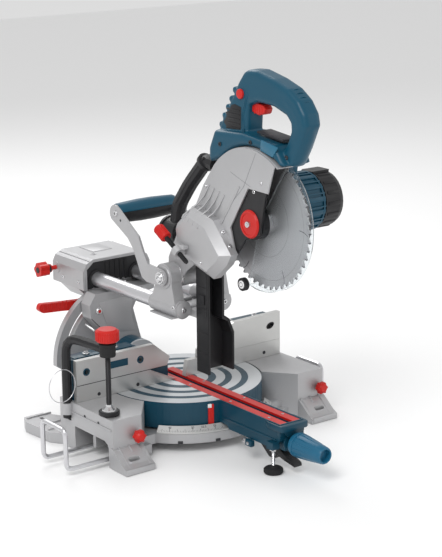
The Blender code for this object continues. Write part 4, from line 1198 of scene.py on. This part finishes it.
marks = bmesh.new()
for y in (-29, -69):
    turned(marks, [(0, 0.15), (2.6, 0.15), (2.9, 0), (0, 0)], (-217.2, y, 67), (-1, 0, 0), 20)
    turned(marks, [(0, 0.15), (2.6, 0.15), (2.9, 0), (0, 0)], (217.2, y, 67), (1, 0, 0), 20)
# Dark blocks at the detent notches in the floor ring: painted shade in the notches
for degrees in (-38, -14, 14, 38):
    a = radians(degrees)
    notch = bmesh.new()
    block(notch, (-4.2, -150.5, 16.7), (4.2, -146, 21.5), 0.3)
    gather(marks, notch, Matrix.Rotation(a, 4, "Z"))
piece("base_marks_and_notch_shade", marks, ink, "base")

for x, body in ((-174, "hoop_knob_left"), (206, "hoop_knob_right")):
    lobes = bmesh.new()
    turned(lobes, [(0, 19.2), (6, 18.6), (8.6, 16), (9.8, 12.6), (9.2, 7), (6.4, 3.6), (4, 3),
                   (4, 0.4), (0, 0.4)], (0, 0, 0), (0, 0, 1), 40)
    lobe = bmesh.new()
    drum(lobe, (8.4, 0, 6), (8.4, 0, 16), 2.4, sides=16, soft=1)
    repeat(lobe, (0, 0, 1), (0, 0, 0), 6)
    gather(lobes, lobe)
    bmesh.ops.transform(lobes, matrix=Matrix.Translation((x, -110, 50)) @ upright((0, -1, 0)),
                        verts=lobes.verts)
    piece(f"{body}_lobes", lobes, red, body, body)

# %% [markdown]
# ## Dust way
#
# The duct behind the blade is an open chute with a rib down its face; the hose carries
# the dust up and round to the port. Clips and collars break up the plain black shapes.

# %% Ribs, collars and port ring
chute = bmesh.new()
for x in (-25.4, 7.6):
    flat(chute, "yz", x, x + 0.9, [(-104, 214), (-100, 214), (-100, 302), (-104, 302)], 0.3)
wire(chute, [(-23.4, -107.2, 118), (-23.4, -107.2, 304)], 1.0)
wire(chute, [(26.2, -107.2, 118), (26.2, -107.2, 182), (16.4, -107.2, 206),
             (6.4, -107.2, 213)], 1.0)
for z in (150, 186, 226, 262):
    block(chute, (-25.6, -106, z), (-24.4, -76, z + 1.4), 0.4)
block(chute, (-27.2, -98, 234), (-24.6, -84, 250), 1)
piece("chute_ribs", chute, black, "carriage")

hose = bmesh.new()
route = [(-8, -110, 466), (-8, -86, 470), (-8, -40, 424), (-8, -8, 384), (-8, 0, 356)]
for a, b in (route[1:3], route[2:4]):
    for side in (-7, 7):
        wire(hose, [Vector(a) + Vector((side - 4, -7, 6)),
                    Vector(b) + Vector((side - 4, -7, 6))], 1.6)
turned(hose, [(12, 4), (15, 4), (15.6, 3), (15.6, -3), (12, -4), (12, 4)], (-8, -84, 466),
       (0, 0.75, -0.66), 32)
turned(hose, [(17.2, 2), (22.4, 2), (23, 1), (23, -4), (20.8, -4), (17.2, 2)], (-8, 20.6, 338),
       (0, 1, 0), 40)
piece("hose_rings", hose, black, "head")
print("all pieces made")
